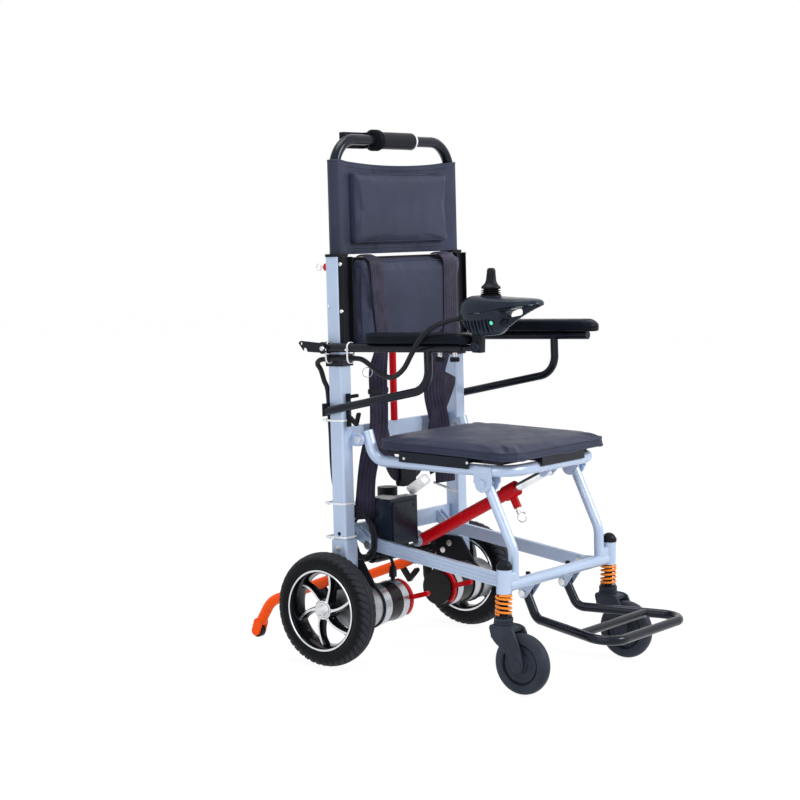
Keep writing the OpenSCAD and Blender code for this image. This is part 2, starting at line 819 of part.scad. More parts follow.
module seat_frame() {
    front_y = -405;
    path = [[seat_x, -38, 510], [seat_x, -60, seat_tube_z - 2], [seat_x, front_y, seat_tube_z + 3],
        [-seat_x, front_y, seat_tube_z + 3], [-seat_x, -60, seat_tube_z - 2], [-seat_x, -38, 510]];
    clevis = 18.6;
    color(silver) placed() difference() {
        union() {
            bent_tube(path, [0, 40, 60, 60, 40, 0], seat_r, 2.5);
            both_sides() {
                rod_x(eye_r, seat_x - 12, post_x - post_half - 2 - gap, seat_pivot_y, seat_pivot_z);
                for (x = [leg_x - clevis, leg_x + clevis - 4]) yz(x, x + 4) {
                    dot([leg_pivot_y, leg_pivot_z], clevis);
                    translate([leg_pivot_y - 22, leg_pivot_z]) square([44, 36]);
                }
                box([leg_x - clevis, leg_pivot_y - 22, 444], [leg_x + clevis, leg_pivot_y + 22, 450]);
                rod_x(9, leg_x + clevis, leg_x + clevis + 4, leg_pivot_y, leg_pivot_z);
                rod_x(9, leg_x - clevis - 4, leg_x - clevis, leg_pivot_y, leg_pivot_z);
            }
            for (x = [-15, 11]) yz(x, x + 4) link([-402, 449], [strut_top_y, strut_top_z], 10);
            for (x = [-18, 15]) rod_x(6, x, x + 3, strut_top_y, strut_top_z);
        }
        both_sides() rod_x(pin_r + run, seat_x - 15, post_x, seat_pivot_y, seat_pivot_z);
    }
}

module seat_board() {
    top = 475;
    under = seat_tube_z + seat_r + 3;
    color(black) placed() {
        box([-172, -385, under], [172, -88, top]);
        both_sides() {
            box([172, -318, under + 0.5], [seat_x + 18, -138, top]);
            box([seat_x + seat_r + 1, -318, 453], [seat_x + 18, -138, top]);
        }
        box([-70, -421.5, 455], [100, -418, top]);
        box([-70, -421.5, under + 0.5], [100, -385, top]);
    }
}

module seat_cushion() {
    color(slate) placed() translate([0, cushion_y, cushion_z]) padded_block(cushion_w, cushion_l, cushion_h,
        cushion_crown, 20, 18);
}

// Linkage below the seat

module rail_shape() {
    rear = [rail_rear_y, rail_rear_z];
    front = [rail_front_y, rail_front_z];
    difference() {
        link(front, rear, rail_h / 2);
        dot(rear, pin_r + run);
        dot(front, pin_r + run);
    }
}

module side_rails() {
    slope = atan2(rail_rear_z - rail_front_z, rail_rear_y - rail_front_y);
    run_len = norm([rail_rear_y - rail_front_y, rail_rear_z - rail_front_z]);
    color(silver) placed() both_sides() difference() {
        yz(climb_x - rail_t / 2, climb_x + rail_t / 2) rail_shape();
        translate([climb_x + rail_t / 2, rail_front_y, rail_front_z]) rotate([slope, 0, 0])
            for (z = [-8, 0, 8]) translate([-1.2, 20, z - 1.5]) cube([3, run_len - 40, 3]);
    }
}

module front_frame() {
    half = stem_x - housing_r;
    knee = [leg_x, -418, 291];
    pivot = [leg_x, leg_pivot_y, leg_pivot_z];
    leg = [pivot + 6 * unit(knee - pivot), knee, [leg_x, -421, cross_z]];
    color(silver) placed() difference() {
        union() {
            rod_x(cross_r, -half - 3, half + 3, -421, cross_z);
            both_sides() {
                bent_tube(leg, [0, 60, 0], leg_r, leg_r);
                rod_x(9.5, leg_x - 12.5, leg_x + 12.5, leg_pivot_y, leg_pivot_z);
                translate([stem_x, stem_y, housing_low])
                    cylinder(r = housing_r, h = housing_high - housing_low);
                yz(leg_x + 4, half + 3) link([-421, cross_z], [-421, 238], 9);
                for (x = [climb_x - rail_t / 2 - gap - 4, climb_x + rail_t / 2 + gap])
                    yz(x, x + 4) link([rail_front_y, rail_front_z], [-421, cross_z], 12);
                for (x = [foot_hinge_x - 15, foot_hinge_x + 11]) yz(x, x + 4) {
                    link([foot_hinge_y, foot_hinge_z], [-416, cross_z], 11);
                    link([foot_hinge_y, foot_hinge_z], [-396, 206], 11);
                }
                box([foot_hinge_x - 15, -406, 207], [foot_hinge_x + 15, -387, 216]);
            }
        }
        both_sides() {
            translate([stem_x, stem_y, housing_low - 1]) cylinder(r = stem_r + run, h = 60);
            rod_x(pin_r, climb_x - 14, climb_x + 9, rail_front_y, rail_front_z);
            rod_x(4, foot_hinge_x - 16, foot_hinge_x + 16, foot_hinge_y, foot_hinge_z);
        }
    }
}

module front_caps() {
    color(black) placed() both_sides() {
        translate([stem_x, stem_y, housing_high]) rotate_extrude() difference() {
            union() {
                square([housing_r + 1, 8]);
                intersection() {
                    dot([0, 4], housing_r);
                    square([housing_r + 1, 30]);
                }
            }
            square([10, 15]);
        }
        translate([foot_hinge_x, -396, 216]) cylinder(r = 5, h = 12);
    }
}

module front_bolts() {
    color(steel) placed() both_sides() {
        rod_x(pin_r, climb_x - 14, climb_x + 9, rail_front_y, rail_front_z);
        rod_x(8.5, climb_x - 14, climb_x - rail_t / 2 - gap - 4, rail_front_y, rail_front_z);
        rod_x(4, foot_hinge_x - 18, foot_hinge_x + 18, foot_hinge_y, foot_hinge_z);
        for (x = [foot_hinge_x - 19, foot_hinge_x + 15])
            translate([x, foot_hinge_y, foot_hinge_z]) rotate([0, 90, 0]) cylinder(r = 8, h = 4, $fn = 6);
    }
}

module frame_bolts() {
    lug_in = post_x - post_half - 2;
    color(steel) placed() {
        both_sides() {
            rod_x(pin_r, seat_x - 17, lug_in + 6, seat_pivot_y, seat_pivot_z);
            rod_x(9, seat_x - 17, seat_x - 12 - gap, seat_pivot_y, seat_pivot_z);
            rod_x(9, lug_in + 6, lug_in + 11, seat_pivot_y, seat_pivot_z);
            rod_x(pin_r, climb_x - 16, climb_x + 16, rail_rear_y, rail_rear_z);
            rod_x(8.5, climb_x + rail_t / 2 + gap + 4, climb_x + 16, rail_rear_y, rail_rear_z);
            rod_x(8.5, climb_x - 16, climb_x - rail_t / 2 - gap - 4, rail_rear_y, rail_rear_z);
            rod_x(pin_r, post_x + post_half, arm_x + 17, arm_pivot_y - 2, arm_pivot_z);
            rod_x(9, arm_x + 13.5, arm_x + 17, arm_pivot_y - 2, arm_pivot_z);
            rod_x(7, plate_in - 4, plate_in, -4, 208);
            rod_x(7, plate_in - 4, plate_in, 14, 190);
        }
        rod_x(pin_r, -22, 22, strut_low_y, strut_low_z);
        for (x = [-22, 19]) rod_x(8, x, x + 3, strut_low_y, strut_low_z);
        back_frame() both_sides() rod_x(6, post_x + 43 / 2, post_x + 43 / 2 + 3, 0, 255);
    }
}

// Strut pieces lie along +Y in their own frame, from the lower to the upper pivot
module strut_frame() {
    translate([0, strut_low_y, strut_low_z]) rotate([0, 0, 180]) rotate([strut_rise, 0, 0]) children();
}

module rod_y(r, y0, y1) {
    translate([0, y0, 0]) rotate([-90, 0, 0]) cylinder(r = r, h = y1 - y0);
}

module strut_tube() {
    head = 292;
    color(red) placed() strut_frame() difference() {
        union() {
            rod_x(13.5, -12, 12, 0, 0);
            rod_y(strut_r, 8, head - 10);
            rod_y(strut_r + 3, head - 34, head);
            translate([0, head - 18, -40]) cylinder(r = 9, h = 34);
        }
        rod_x(pin_r + run, -13, 13, 0, 0);
        rod_y(rod_r + 2.5, 30, head - 22);
        rod_y(rod_r + run, head - 23, head + 1);
        translate([0, head - 18, -42]) cylinder(r = 4.6, h = 36);
    }
}

module strut_rod() {
    color(steel) placed() strut_frame() {
        rod_y(rod_r, 42, strut_len - 6);
        rod_y(rod_r + 2.4, 40, 50);
        rod_x(9.5, -10, 10, strut_len, 0);
    }
}

module strut_pin() {
    color(steel) placed() strut_frame() translate([0, 274, 0]) {
        translate([0, 0, -50]) cylinder(r = 4.5, h = 50 - rod_r - gap);
        translate([0, 0, -52]) cylinder(r = 7, h = 8);
        translate([0, 0, -62]) rotate([0, 90, 0]) rotate_extrude() translate([11, 0]) circle(1.5);
    }
}

// Footrest, casters

module footrest() {
    low = [82, -421, 130];
    corner = [foot_half, foot_front_y, 124];
    cross_y = -562;
    share = (cross_y - low[1]) / (corner[1] - low[1]);
    tie = low + share * (corner - low);
    path = [[foot_hinge_x, foot_hinge_y, foot_hinge_z], low, corner,
        [-corner[0], corner[1], corner[2]], [-low[0], low[1], low[2]],
        [-foot_hinge_x, foot_hinge_y, foot_hinge_z]];
    color(black) placed() difference() {
        union() {
            bent_tube(path, [0, 26, 42, 42, 26, 0], foot_r, foot_r);
            rod_x(foot_r - 1, -tie[0], tie[0], tie[1], tie[2]);
            both_sides() rod_x(foot_r, foot_hinge_x - 10.5, foot_hinge_x + 10.5, foot_hinge_y, foot_hinge_z);
        }
        both_sides() rod_x(4 + run, foot_hinge_x - 14, foot_hinge_x + 14, foot_hinge_y, foot_hinge_z);
    }
}

module at_stem(right) {
    placed() on_side(right) translate([stem_x, stem_y, 0]) children();
}

module caster_stem(right) {
    color(steel) at_stem(right) {
        translate([0, 0, 142]) cylinder(r = stem_r, h = 106);
        translate([0, 0, collar_z - 3]) cylinder(r = spring_d / 2, h = 3);
    }
}

// Coil with close-wound ends: height as a share of its length over the turns
coil_turns = 5;
coil_r = (spring_d - spring_wire) / 2;
coil_low = collar_z + spring_wire / 2 + 0.1;
coil_rise = housing_low - collar_z - spring_wire - 0.2;
end_pitch = spring_wire + 0.7;
mid_pitch = (coil_rise - 1.5 * end_pitch) / (coil_turns - 1.5);
function coil_z(u) = u < 0.75 ? u * end_pitch
    : u > coil_turns - 0.75 ? coil_rise - (coil_turns - u) * end_pitch
    : 0.75 * end_pitch + (u - 0.75) * mid_pitch;
function coil_point(u) = [coil_r * cos(360 * u), coil_r * sin(360 * u), coil_low + coil_z(u)];
coil_rings = 8 * coil_turns;
coil = [for (i = [0:coil_rings]) coil_point(i / 8)];
coil_gap = min([for (i = [0:coil_rings - 6], j = [i + 6:coil_rings]) norm(coil[i] - coil[j])]) - spring_wire;
echo(str("least gap of the spring to itself, mm: ", coil_gap));

module caster_spring(right) {
    color(orange) at_stem(right) cord(coil, spring_wire / 2, 6);
}

module caster_fork(right) {
    inner = caster_w / 2 + 2.5;
    outer = inner + 7;
    axle = [-caster_trail, caster_r];
    color(black) at_stem(right) difference() {
        union() {
            for (z = [138, 144.5, 151]) translate([0, 0, z]) cylinder(r = 20, h = 4.5);
            translate([0, 0, 130]) cylinder(r = 17.5, h = 26);
            yz(-outer, outer) difference() {
                union() {
                    link([-6, 128], axle, 15);
                    dot([-4, 126], 20);
                }
                dot(axle, 5);
            }
        }
        yz(-inner, inner) {
            dot(axle, caster_r + 3.5);
            link(axle, [axle[0] + 8, 20], 20);
        }
        translate([0, 0, 141]) cylinder(r = stem_r + run, h = 20);
        translate([0, 0, 156]) cylinder(r = 25, h = 10);
    }
    color(steel) at_stem(right) rod_x(5, -outer - 1, outer + 1, axle[0], axle[1]);
}

module caster_wheel(right) {
    inner = caster_w / 2;
    color(grey) at_stem(right) translate([0, -caster_trail, caster_r]) rotate([0, 90, 0])
        rotate_extrude() {
            translate([5 + run, -inner]) square([14, caster_w]);
            translate([10, -8]) square([36, 16]);
            intersection() {
                dot([caster_r - 24, 0], 24);
                translate([40, -inner]) square([caster_r, caster_w]);
            }
        }
}

// Armrests turn up about their rear bolt

module arm_frame(right) {
    placed() on_side(right) translate([arm_x, arm_pivot_y - 2, arm_pivot_z])
        rotate([-arm_rise, 0, 0]) children();
}

module armrest(right) {
    drop = [[0, 5, -138], [0, -272, -86], [0, -272, 0]];
    color(black) arm_frame(right) difference() {
        union() {
            bent_tube([[0, -8, 0], [0, -arm_len, 0]], [0, 0], arm_r, 2);
            rod_x(13, -10, 13, 0, 0);
            bent_tube(drop, [0, 48, 0], support_r, support_r);
            translate([0, -arm_len, 0]) rotate([90, 0, 0]) cylinder(r = arm_r, h = 4);
            if (right) {
                translate([0, -arm_len - 4, 0]) rotate([90, 0, 0]) cylinder(r = 7, h = 40);
                for (y = [-302, -340]) translate([0, y, -28]) {
                    cylinder(r = 4, h = 20);
                    cylinder(r = 8.5, h = 9);
                }
            }
        }
        rod_x(pin_r + run, -11, 14, 0, 0);
    }
}

module arm_pad(right) {
    r = 7;
    y0 = -112;
    color(black) arm_frame(right) translate([0, 0, arm_r]) hull() {
        for (y = [y0 - pad_w / 2, y0 - pad_l + pad_w / 2]) translate([0, y, 0]) {
            cylinder(r = pad_w / 2 - 5, h = 1, $fn = 32);
            translate([0, 0, 6]) cylinder(r = pad_w / 2, h = pad_h - 6 - r, $fn = 32);
            translate([0, 0, pad_h - 2.5]) cylinder(r = pad_w / 2 - 4, h = 0.1, $fn = 32);
            translate([0, 0, pad_h - 0.1]) cylinder(r = pad_w / 2 - 11, h = 0.1, $fn = 32);
        }
    }
}

stick_at = [250, -408, 815];

module oval(at, rx, ry, h) {
    translate(at) scale([rx, ry, 1]) cylinder(r = 1, h = h, $fn = 32);
}

module joystick_housing() {
    x = stick_at[0];
    y = stick_at[1];
    color(black) placed() on_side(true) difference() {
        union() {
            hull() {
                oval([x, y - 28, 799], 40, 92, 3);
                oval([x, y - 22, 813], 33, 78, 1);
                oval([x, y - 12, 819], 26, 56, 1);
                oval([x, y - 10, 772], 34, 60, 1);
                oval([x, y + 5, 746], 22, 38, 1);
            }
            difference() {
                translate([x, y, 818]) {
                    cylinder(r = 20, h = 6);
                    cylinder(r = 18, h = 13);
                }
                translate([x, y, 818]) cylinder(r = 13, h = 20);
            }
            box([x - 17, y + 22, 704], [x + 5, y + 43, 772]);
        }
        translate([x, y, 806]) cylinder(r = 11, h = 20);
        yz(x - 60, x + 60) link([-474, 791], [-486, 793], 8);
    }
}

module joystick_stick() {
    color(black) placed() on_side(true) translate(stick_at) {
        rotate_extrude() {
            square([5, 30]);
            intersection() {
                dot([0, 0], 7);
                translate([0, -6]) square([8, 14]);
            }
            polygon([[0, 23], [19, 23], [19, 26], [14, 29], [11, 35], [9.5, 44], [9.5, 58], [8.5, 61],
                [6, 62.5], [0, 62.5]]);
        }
        rod_x(2.5, -9.5, 9.5, 0, 0);
    }
}

module control_cable() {
    route = [[-250, -360, 775], [-254, -344, 774], [-263, -316, 768], [-272, -290, 757], [-278, -268, 742],
        [-279.5, -247, 719], [-274, -225, 690], [-265, -202, 663], [-256, -175, 645], [-250, -151, 639],
        [-247, -122, 647],
        [-245, -99, 660], [-244, -74, 672], [-243.5, -46, 673], [-243.5, -10, 671], [-243.5, 16, 669]];
    color(black) placed() cord(curve(route, 3), 5.5, 10);
}

module wiring() {
    tail = [[-244, 27, 667], [-243, 42, 664], [-238, 53, 655], [-231, 49, 641], [-226, 44, 618],
        [-222, 38, 600], [-218, 36, 560], [-214, 34, 500], [-212, 32, 440], [-205, 31, 390], [-190, 28, 358],
        [-160, 25, 335], [-115, 23, 328], [-92, 16, 326], [-88, 3, 325]];
    loom = [[-110, -6, 290], [-122, -4, 304], [-132, 4, 308], [-142, 18, 304], [-149, 24, 280],
        [-150, 20, 246], [-144, 8, 226], [-128, -10, 222], [-108, -32, 226], [-99, -45, 219], [-97, -50, 198],
        [-97, -50, 167]];
    far = [[-43, -30, 252], [-41, -31, 226], [-10, -36, 198], [40, -44, 186], [90, -50, 179],
        [106, -50, 168]];
    color(black) placed() {
        cord(curve(tail, 3), 5, 8);
        cord(curve(loom, 3), 4, 8);
        cord(curve(far, 3), 4, 8);
    }
}

module armrest_brackets() {
    band = 46;
    color(black) placed() {
        post_place() translate([0, 0, 652]) linear_extrude(26) difference() {
            rounded(band, band, 6);
            rounded(post_size, post_size, 5);
        }
        both_sides() back_frame() box([post_x - post_half, post_half, 544], [arm_x + 8, post_half + 3, 572]);
        both_sides() difference() {
            yz(arm_x + 17, arm_x + 20) polygon([[14, 682], [60, 682], [64, 690], [72, 690],
                [72, 684], [86, 700], [80, 705], [14, 703]]);
            rod_x(3, arm_x + 16, arm_x + 21, 78, 699);
        }
    }
}

back_posts();
post_sleeves();
post_fittings();
seat_cross_bar();
lower_cross_bar();
centre_stay();
back_board();
back_pad();
harness();
belt_buckles();
battery_box();
controller_box();
drive_gearboxes();
drive_motors();
motor_plates();
climb_gearbox();
armrest_brackets();
frame_bolts();
wiring();
handle_bar();
handle_grip();
climb_switch();
head_sling();
head_pad();
lock_plunger();
seat_frame();
seat_board();
seat_cushion();
side_rails();
front_frame();
front_caps();
front_bolts();
strut_tube();
strut_rod();
strut_pin();
footrest();
armrest(true);  // armrest_right
armrest(false);  // armrest_left
arm_pad(true);  // arm_pad_right
arm_pad(false);  // arm_pad_left
joystick_housing();
joystick_stick();
control_cable();
wheel(true);  // wheel_right
wheel(false);  // wheel_left
tyre(true);  // tyre_right
tyre(false);  // tyre_left
caster_stem(true);  // caster_stem_right
caster_stem(false);  // caster_stem_left
caster_spring(true);  // caster_spring_right
caster_spring(false);  // caster_spring_left
caster_fork(true);  // caster_fork_right
caster_fork(false);  // caster_fork_left
caster_wheel(true);  // caster_wheel_right
caster_wheel(false);  // caster_wheel_left
climb_arms();
climb_roller(true);  // climb_roller_right
climb_roller(false);  // climb_roller_left
brake_lever(true);  // brake_lever_right
brake_lever(false);  // brake_lever_left
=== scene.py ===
"""Looks of the stair climbing wheelchair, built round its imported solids.

Every length in the helpers is in millimetres about the foot of the rear axle, forward is -Y,
and the place functions below turn it into metres in the frame of the whole chair.
"""

import math

import bmesh
import bpy
import numpy as np
from bpy.props import FloatProperty, FloatVectorProperty, IntProperty, PointerProperty
from mathutils import Matrix, Vector


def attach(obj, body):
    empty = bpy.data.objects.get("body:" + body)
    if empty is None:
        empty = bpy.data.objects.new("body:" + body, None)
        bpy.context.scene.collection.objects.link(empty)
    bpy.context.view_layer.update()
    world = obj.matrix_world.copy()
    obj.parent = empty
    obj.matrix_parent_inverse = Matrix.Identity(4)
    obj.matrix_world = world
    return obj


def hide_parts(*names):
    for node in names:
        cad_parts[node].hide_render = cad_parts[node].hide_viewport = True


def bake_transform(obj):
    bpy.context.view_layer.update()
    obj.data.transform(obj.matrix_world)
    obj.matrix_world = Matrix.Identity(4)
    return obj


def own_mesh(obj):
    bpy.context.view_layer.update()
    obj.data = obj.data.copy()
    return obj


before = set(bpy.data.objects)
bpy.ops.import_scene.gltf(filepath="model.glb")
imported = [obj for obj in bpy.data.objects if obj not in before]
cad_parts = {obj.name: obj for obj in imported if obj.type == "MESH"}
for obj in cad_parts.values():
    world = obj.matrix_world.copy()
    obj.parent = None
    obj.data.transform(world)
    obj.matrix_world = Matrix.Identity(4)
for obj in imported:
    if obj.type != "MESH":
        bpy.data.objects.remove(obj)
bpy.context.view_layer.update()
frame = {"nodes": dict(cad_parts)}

bl_info = {
    "name": "Stair climbing wheelchair",
    "version": (1, 0, 0),
    "blender": (4, 5, 0),
    "location": "View3D > Sidebar > Chair",
    "description": "Covers, tyres, cables, trim and finishes of a stair climbing wheelchair",
    "category": "Object",
}

AXLE_Y = 175.0
LEAN = math.radians(2.4)
POST_FOOT_Y = 11.2 - 640 * math.tan(LEAN)
POST_X = 213.0
POST_HALF = 18.0
GRIP_Z = 1141.0
ARM_X = 243.5
ARM_Y = 25.0
ARM_Z = 692.0
ARM_RISE = math.radians(3.04)
HALF_TRACK = 267.5
WHEEL_R = 125.0
STEM_X = 209.0
STEM_Y = -422.0
CASTER_R = 64.0
CASTER_TRAIL = 49.0
SIDES = (("right", -1), ("left", 1))
TAU = 2 * math.pi
UP = (0, 0, 1)
# A direction that no route runs along
ASKEW = (0.3, 0.2, 0.93)
# Level way and outward way of thin metal that is seen full face in the picture
FACE_LEVEL = np.array((0.6, -0.8, 0))
FACE_OUT = np.array((-0.8, -0.6, 0))
# Metres: grain of a stuffed pad's mesh, and depth of its back that the cloth pressure leaves alone
PAD_VOXEL = 0.005
PAD_HELD = 0.0012


# Places

def axle(p):
    """Millimetres about the foot of the rear axle to metres in the chair's frame."""
    return (np.asarray(p, float) + (0, AXLE_Y, 0)) / 1000


def lean(p, angle):
    """Turns points about X so that +Z tips towards +Y: y' = y cos + z sin, z' = z cos - y sin."""
    p = np.asarray(p, float)
    c, s = math.cos(angle), math.sin(angle)
    return np.stack([p[..., 0], c * p[..., 1] + s * p[..., 2], c * p[..., 2] - s * p[..., 1]], -1)


def back(p):
    """Millimetres in the leaning back's own frame, Z up the posts, to metres in the chair's."""
    return axle(lean(p, LEAN) + (0, POST_FOOT_Y, 0))


def arm(p, side):
    """Millimetres in an armrest's frame, from its pivot along its tube, to the chair's frame."""
    return axle((lean(p, ARM_RISE) + (ARM_X, ARM_Y, ARM_Z)) * (side, 1, 1))


def wheel_place(p, side):
    """Wheel frame, axial outward first, to the chair's frame."""
    return axle((np.asarray(p, float) + (HALF_TRACK, 0, WHEEL_R)) * (side, 1, 1))


def stem(p, side):
    """Caster frame, about the foot of its stem, to the chair's frame."""
    return axle((np.asarray(p, float) + (STEM_X, STEM_Y, 0)) * (side, 1, 1))


# Surfaces

def unit(v):
    """Each vector divided by its length."""
    return v / np.maximum(np.linalg.norm(v, axis=-1, keepdims=True), 1e-12)


def smooth(t):
    """Eased step: 3 t^2 - 2 t^3 of t held between 0 and 1."""
    t = np.clip(t, 0, 1)
    return t * t * (3 - 2 * t)


def power(a, n):
    """Sign-keeping power, for sections between a circle and a rectangle."""
    return np.sign(a) * np.abs(a) ** n


def pulse(phase, share=0.5, edge=0.08):
    """Wave of period 1 that is 1 over a share of it and 0 elsewhere, with eased edges."""
    d = np.abs((phase % 1.0) - 0.5)
    return smooth((share / 2 + edge - d) / (2 * edge))


def ring(r, k):
    """Circle of k points: (r cos a, r sin a)."""
    a = np.arange(k) / k * TAU
    return np.stack([r * np.cos(a), r * np.sin(a)], -1)


def rounded(w, h, r, k=6):
    """Rectangle w by h with corner arcs of radius r, k points each, anticlockwise."""
    a = np.linspace(0, TAU / 4, k)
    return np.concatenate([
        np.stack([cx * (w / 2 - r) + r * np.cos(a + q), cy * (h / 2 - r) + r * np.sin(a + q)], -1)
        for q, cx, cy in ((0, 1, 1), (TAU / 4, -1, 1), (TAU / 2, -1, -1), (3 * TAU / 4, 1, -1))])


def lift(outline, z, axis=2):
    """Flat outline stood at z along an axis: (x, y) to (x, y, z) for the last one."""
    return np.insert(outline, axis, z, axis=-1)


def stacked(outline, steps, axis=2):
    """Rings of one outline, each scaled by g and stood at z, for steps of (z, g)."""
    return np.stack([lift(outline * g, z, axis) for z, g in steps])


def mirrored(half):
    """Closed outline from its right half, whose two ends lie on the middle line."""
    half = np.array(half, float)
    return np.concatenate([half, half[-2:0:-1] * (-1, 1)])


def curve(points, m):
    """Catmull curve through the points, m steps a span: the cubic with mean slopes at each point."""
    p = np.asarray(points, float)
    q = np.concatenate([p[:1], p, p[-1:]])
    t = (np.arange(m) / m)[None, :, None]
    a, b, c, d = (q[i:i + len(p) - 1, None] for i in range(4))
    bend, twist = 2 * a - 5 * b + 4 * c - d, 3 * b - a - 3 * c + d
    s = 0.5 * (2 * b + t * (c - a) + t**2 * bend + t**3 * twist)
    return np.concatenate([s.reshape(-1, p.shape[1]), p[-1:]])


def along(path):
    """Length run from the start of the path to each of its points."""
    return np.concatenate([[0], np.cumsum(np.linalg.norm(np.diff(path, axis=0), axis=1))])


def points_at(path, at):
    """Points of a path at given lengths of run."""
    run = along(path)
    return np.stack([np.interp(at, run, c) for c in path.T], -1)


def dense(path, n):
    """A closed path resampled at n even steps."""
    ends = np.concatenate([path, path[:1]])
    return points_at(ends, np.arange(n) / n * along(ends)[-1])


def closed_line(points, m, n):
    """Smooth closed line through flat points, m steps a span, resampled at n even steps."""
    p = np.array(points, float)
    return dense(curve(np.concatenate([p[-2:], p, p[:2]]), m)[2 * m:-2 * m], n)


def trace(points, at):
    """Second coordinate, at each place along the first, of a smooth line through the points."""
    c = curve(points, 12)
    c = c[np.argsort(c[:, 0])]
    return np.interp(at, c[:, 0], c[:, 1])


def cross_frame(path, ref, closed=False):
    """Side and up vectors across a path: side = ref x tangent, up = tangent x side."""
    t = np.roll(path, -1, 0) - np.roll(path, 1, 0) if closed else np.gradient(path, axis=0)
    t = unit(t)
    side = unit(np.cross(np.broadcast_to(np.asarray(ref, float), t.shape), t))
    return side, np.cross(t, side)


def sweep(path, profile, ref=ASKEW, closed=False):
    """Carries a profile along a path: point + profile x * side + profile y * up.
    The profile is one (k, 2) outline, or one for each point of the path."""
    side, up = cross_frame(path, ref, closed)
    f = np.broadcast_to(profile, (len(path),) + np.shape(profile)[-2:])
    return path[:, None] + f[..., :1] * side[:, None] + f[..., 1:] * up[:, None]


def turned(profile, k):
    """Surface of revolution about the first axis: (axial, r cos a, r sin a) for each (axial, r)."""
    f, a = np.asarray(profile, float), np.arange(k) / k * TAU
    r = f[:, 1, None]
    return np.stack([np.broadcast_to(f[:, :1], (len(f), k)), r * np.cos(a), r * np.sin(a)], -1)


def onto(p, at, axis):
    """Moves a shape drawn about +X to a point, with +X along the axis given."""
    x = unit(np.asarray(axis, float))
    y = unit(np.cross(UP if abs(x[2]) < 0.9 else (0, 1, 0), x))
    return np.asarray(p, float) @ np.stack([x, y, np.cross(x, y)]) + np.asarray(at, float)


class Skin:
    """Point grids gathered into one mesh, each with its own finish."""

    def __init__(self, *finishes):
        self.finishes = [FINISHES[name] for name in finishes]
        self.co, self.quads, self.which, self.uv, self.caps = [], [], [], [], []
        self.count = 0

    def grid(self, p, loop=(False, False), caps=False, finish=0, uv=None):
        """Quads over an (m, n) grid of points; a looped side closes on itself, caps close both end
        rings. finish is one index or one for each strip along n, uv two rows of metres."""
        m, n = p.shape[:2]
        i, j = np.meshgrid(
            np.arange(m - (not loop[0])), np.arange(n - (not loop[1])), indexing="ij")
        i, j = i.ravel(), j.ravel()
        ends = [(i, j), (i + 1, j), (i + 1, j + 1), (i, j + 1)]
        index = [(a % m) * n + b % n for a, b in ends]
        self.quads.append(np.stack(index, -1) + self.count)
        strips = np.broadcast_to(np.asarray(finish), (n,))
        self.which.append(strips[j % n])
        if uv is None:
            uv = (np.zeros(m + 1), np.zeros(n + 1))
        self.uv.append(np.stack([np.stack([uv[0][a], uv[1][b]], -1) for a, b in ends], 1))
        for row in (0, m - 1) if caps else ():
            self.caps.append(((np.arange(n) + row * n + self.count).tolist(), strips[0]))
        self.co.append(p.reshape(-1, 3))
        self.count += m * n
        return self

    def tube(self, p, finish=0, uv=None):
        """Grid whose rows are closed rings, with both ends capped."""
        return self.grid(p, (False, True), True, finish, uv)

    def hoop(self, p, finish=0):
        """Grid that closes on itself both ways."""
        return self.grid(p, (True, True), finish=finish)

    def build(self, name, body, slot=None, angle=38, recalc=True):
        """Makes the object at the origin, riding on its body, smooth below the angle in degrees."""
        faces = np.concatenate(self.quads).tolist() + [end for end, _ in self.caps]
        mesh = bpy.data.meshes.new(name)
        mesh.from_pydata(np.concatenate(self.co).tolist(), [], faces)
        which = np.concatenate([*self.which, [finish for _, finish in self.caps]])
        mesh.polygons.foreach_set("material_index", which.astype(np.int32))
        uv = np.concatenate(self.uv).reshape(-1, 2)
        flat = np.zeros((len(mesh.loops), 2), np.float32)
        flat[:len(uv)] = uv
        mesh.uv_layers.new(name="UVMap").data.foreach_set("uv", flat.ravel())
        for finish in self.finishes:
            mesh.materials.append(finish)
        if recalc:
            tidy(mesh)
        return settle(bpy.data.objects.new(name, mesh), body, angle)


def tidy(mesh):
    """Closes seams and poles and turns every face of a closed shell outwards."""
    b = bmesh.new()
    b.from_mesh(mesh)
    bmesh.ops.remove_doubles(b, verts=b.verts, dist=2e-6)
    bmesh.ops.dissolve_degenerate(b, edges=b.edges, dist=1e-7)
    bmesh.ops.recalc_face_normals(b, faces=b.faces)
    b.to_mesh(mesh)
    b.free()


def settle(obj, body, angle=38):
    """Links a finished piece, shades it smooth up to the angle and lets it ride on its body."""
    if obj.name not in bpy.context.scene.collection.objects:
        bpy.context.scene.collection.objects.link(obj)
    obj.data.shade_smooth()
    obj.data.set_sharp_from_angle(angle=math.radians(angle))
    if body:
        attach(obj, body)
    return obj


# Finishes

def node(tree, kind, settings=None, **inputs):
    """One shader node; an input is a constant or the socket that feeds it, _0 the first one."""
    n = tree.nodes.new("ShaderNode" + kind)
    for key, value in (settings or {}).items():
        setattr(n, key, value)
    for key, value in inputs.items():
        socket = n.inputs[int(key[1:]) if key[1:].isdigit() else key.replace("_", " ")]
        if isinstance(value, bpy.types.NodeSocket):
            tree.links.new(value, socket)
        else:
            socket.default_value = value
    return n


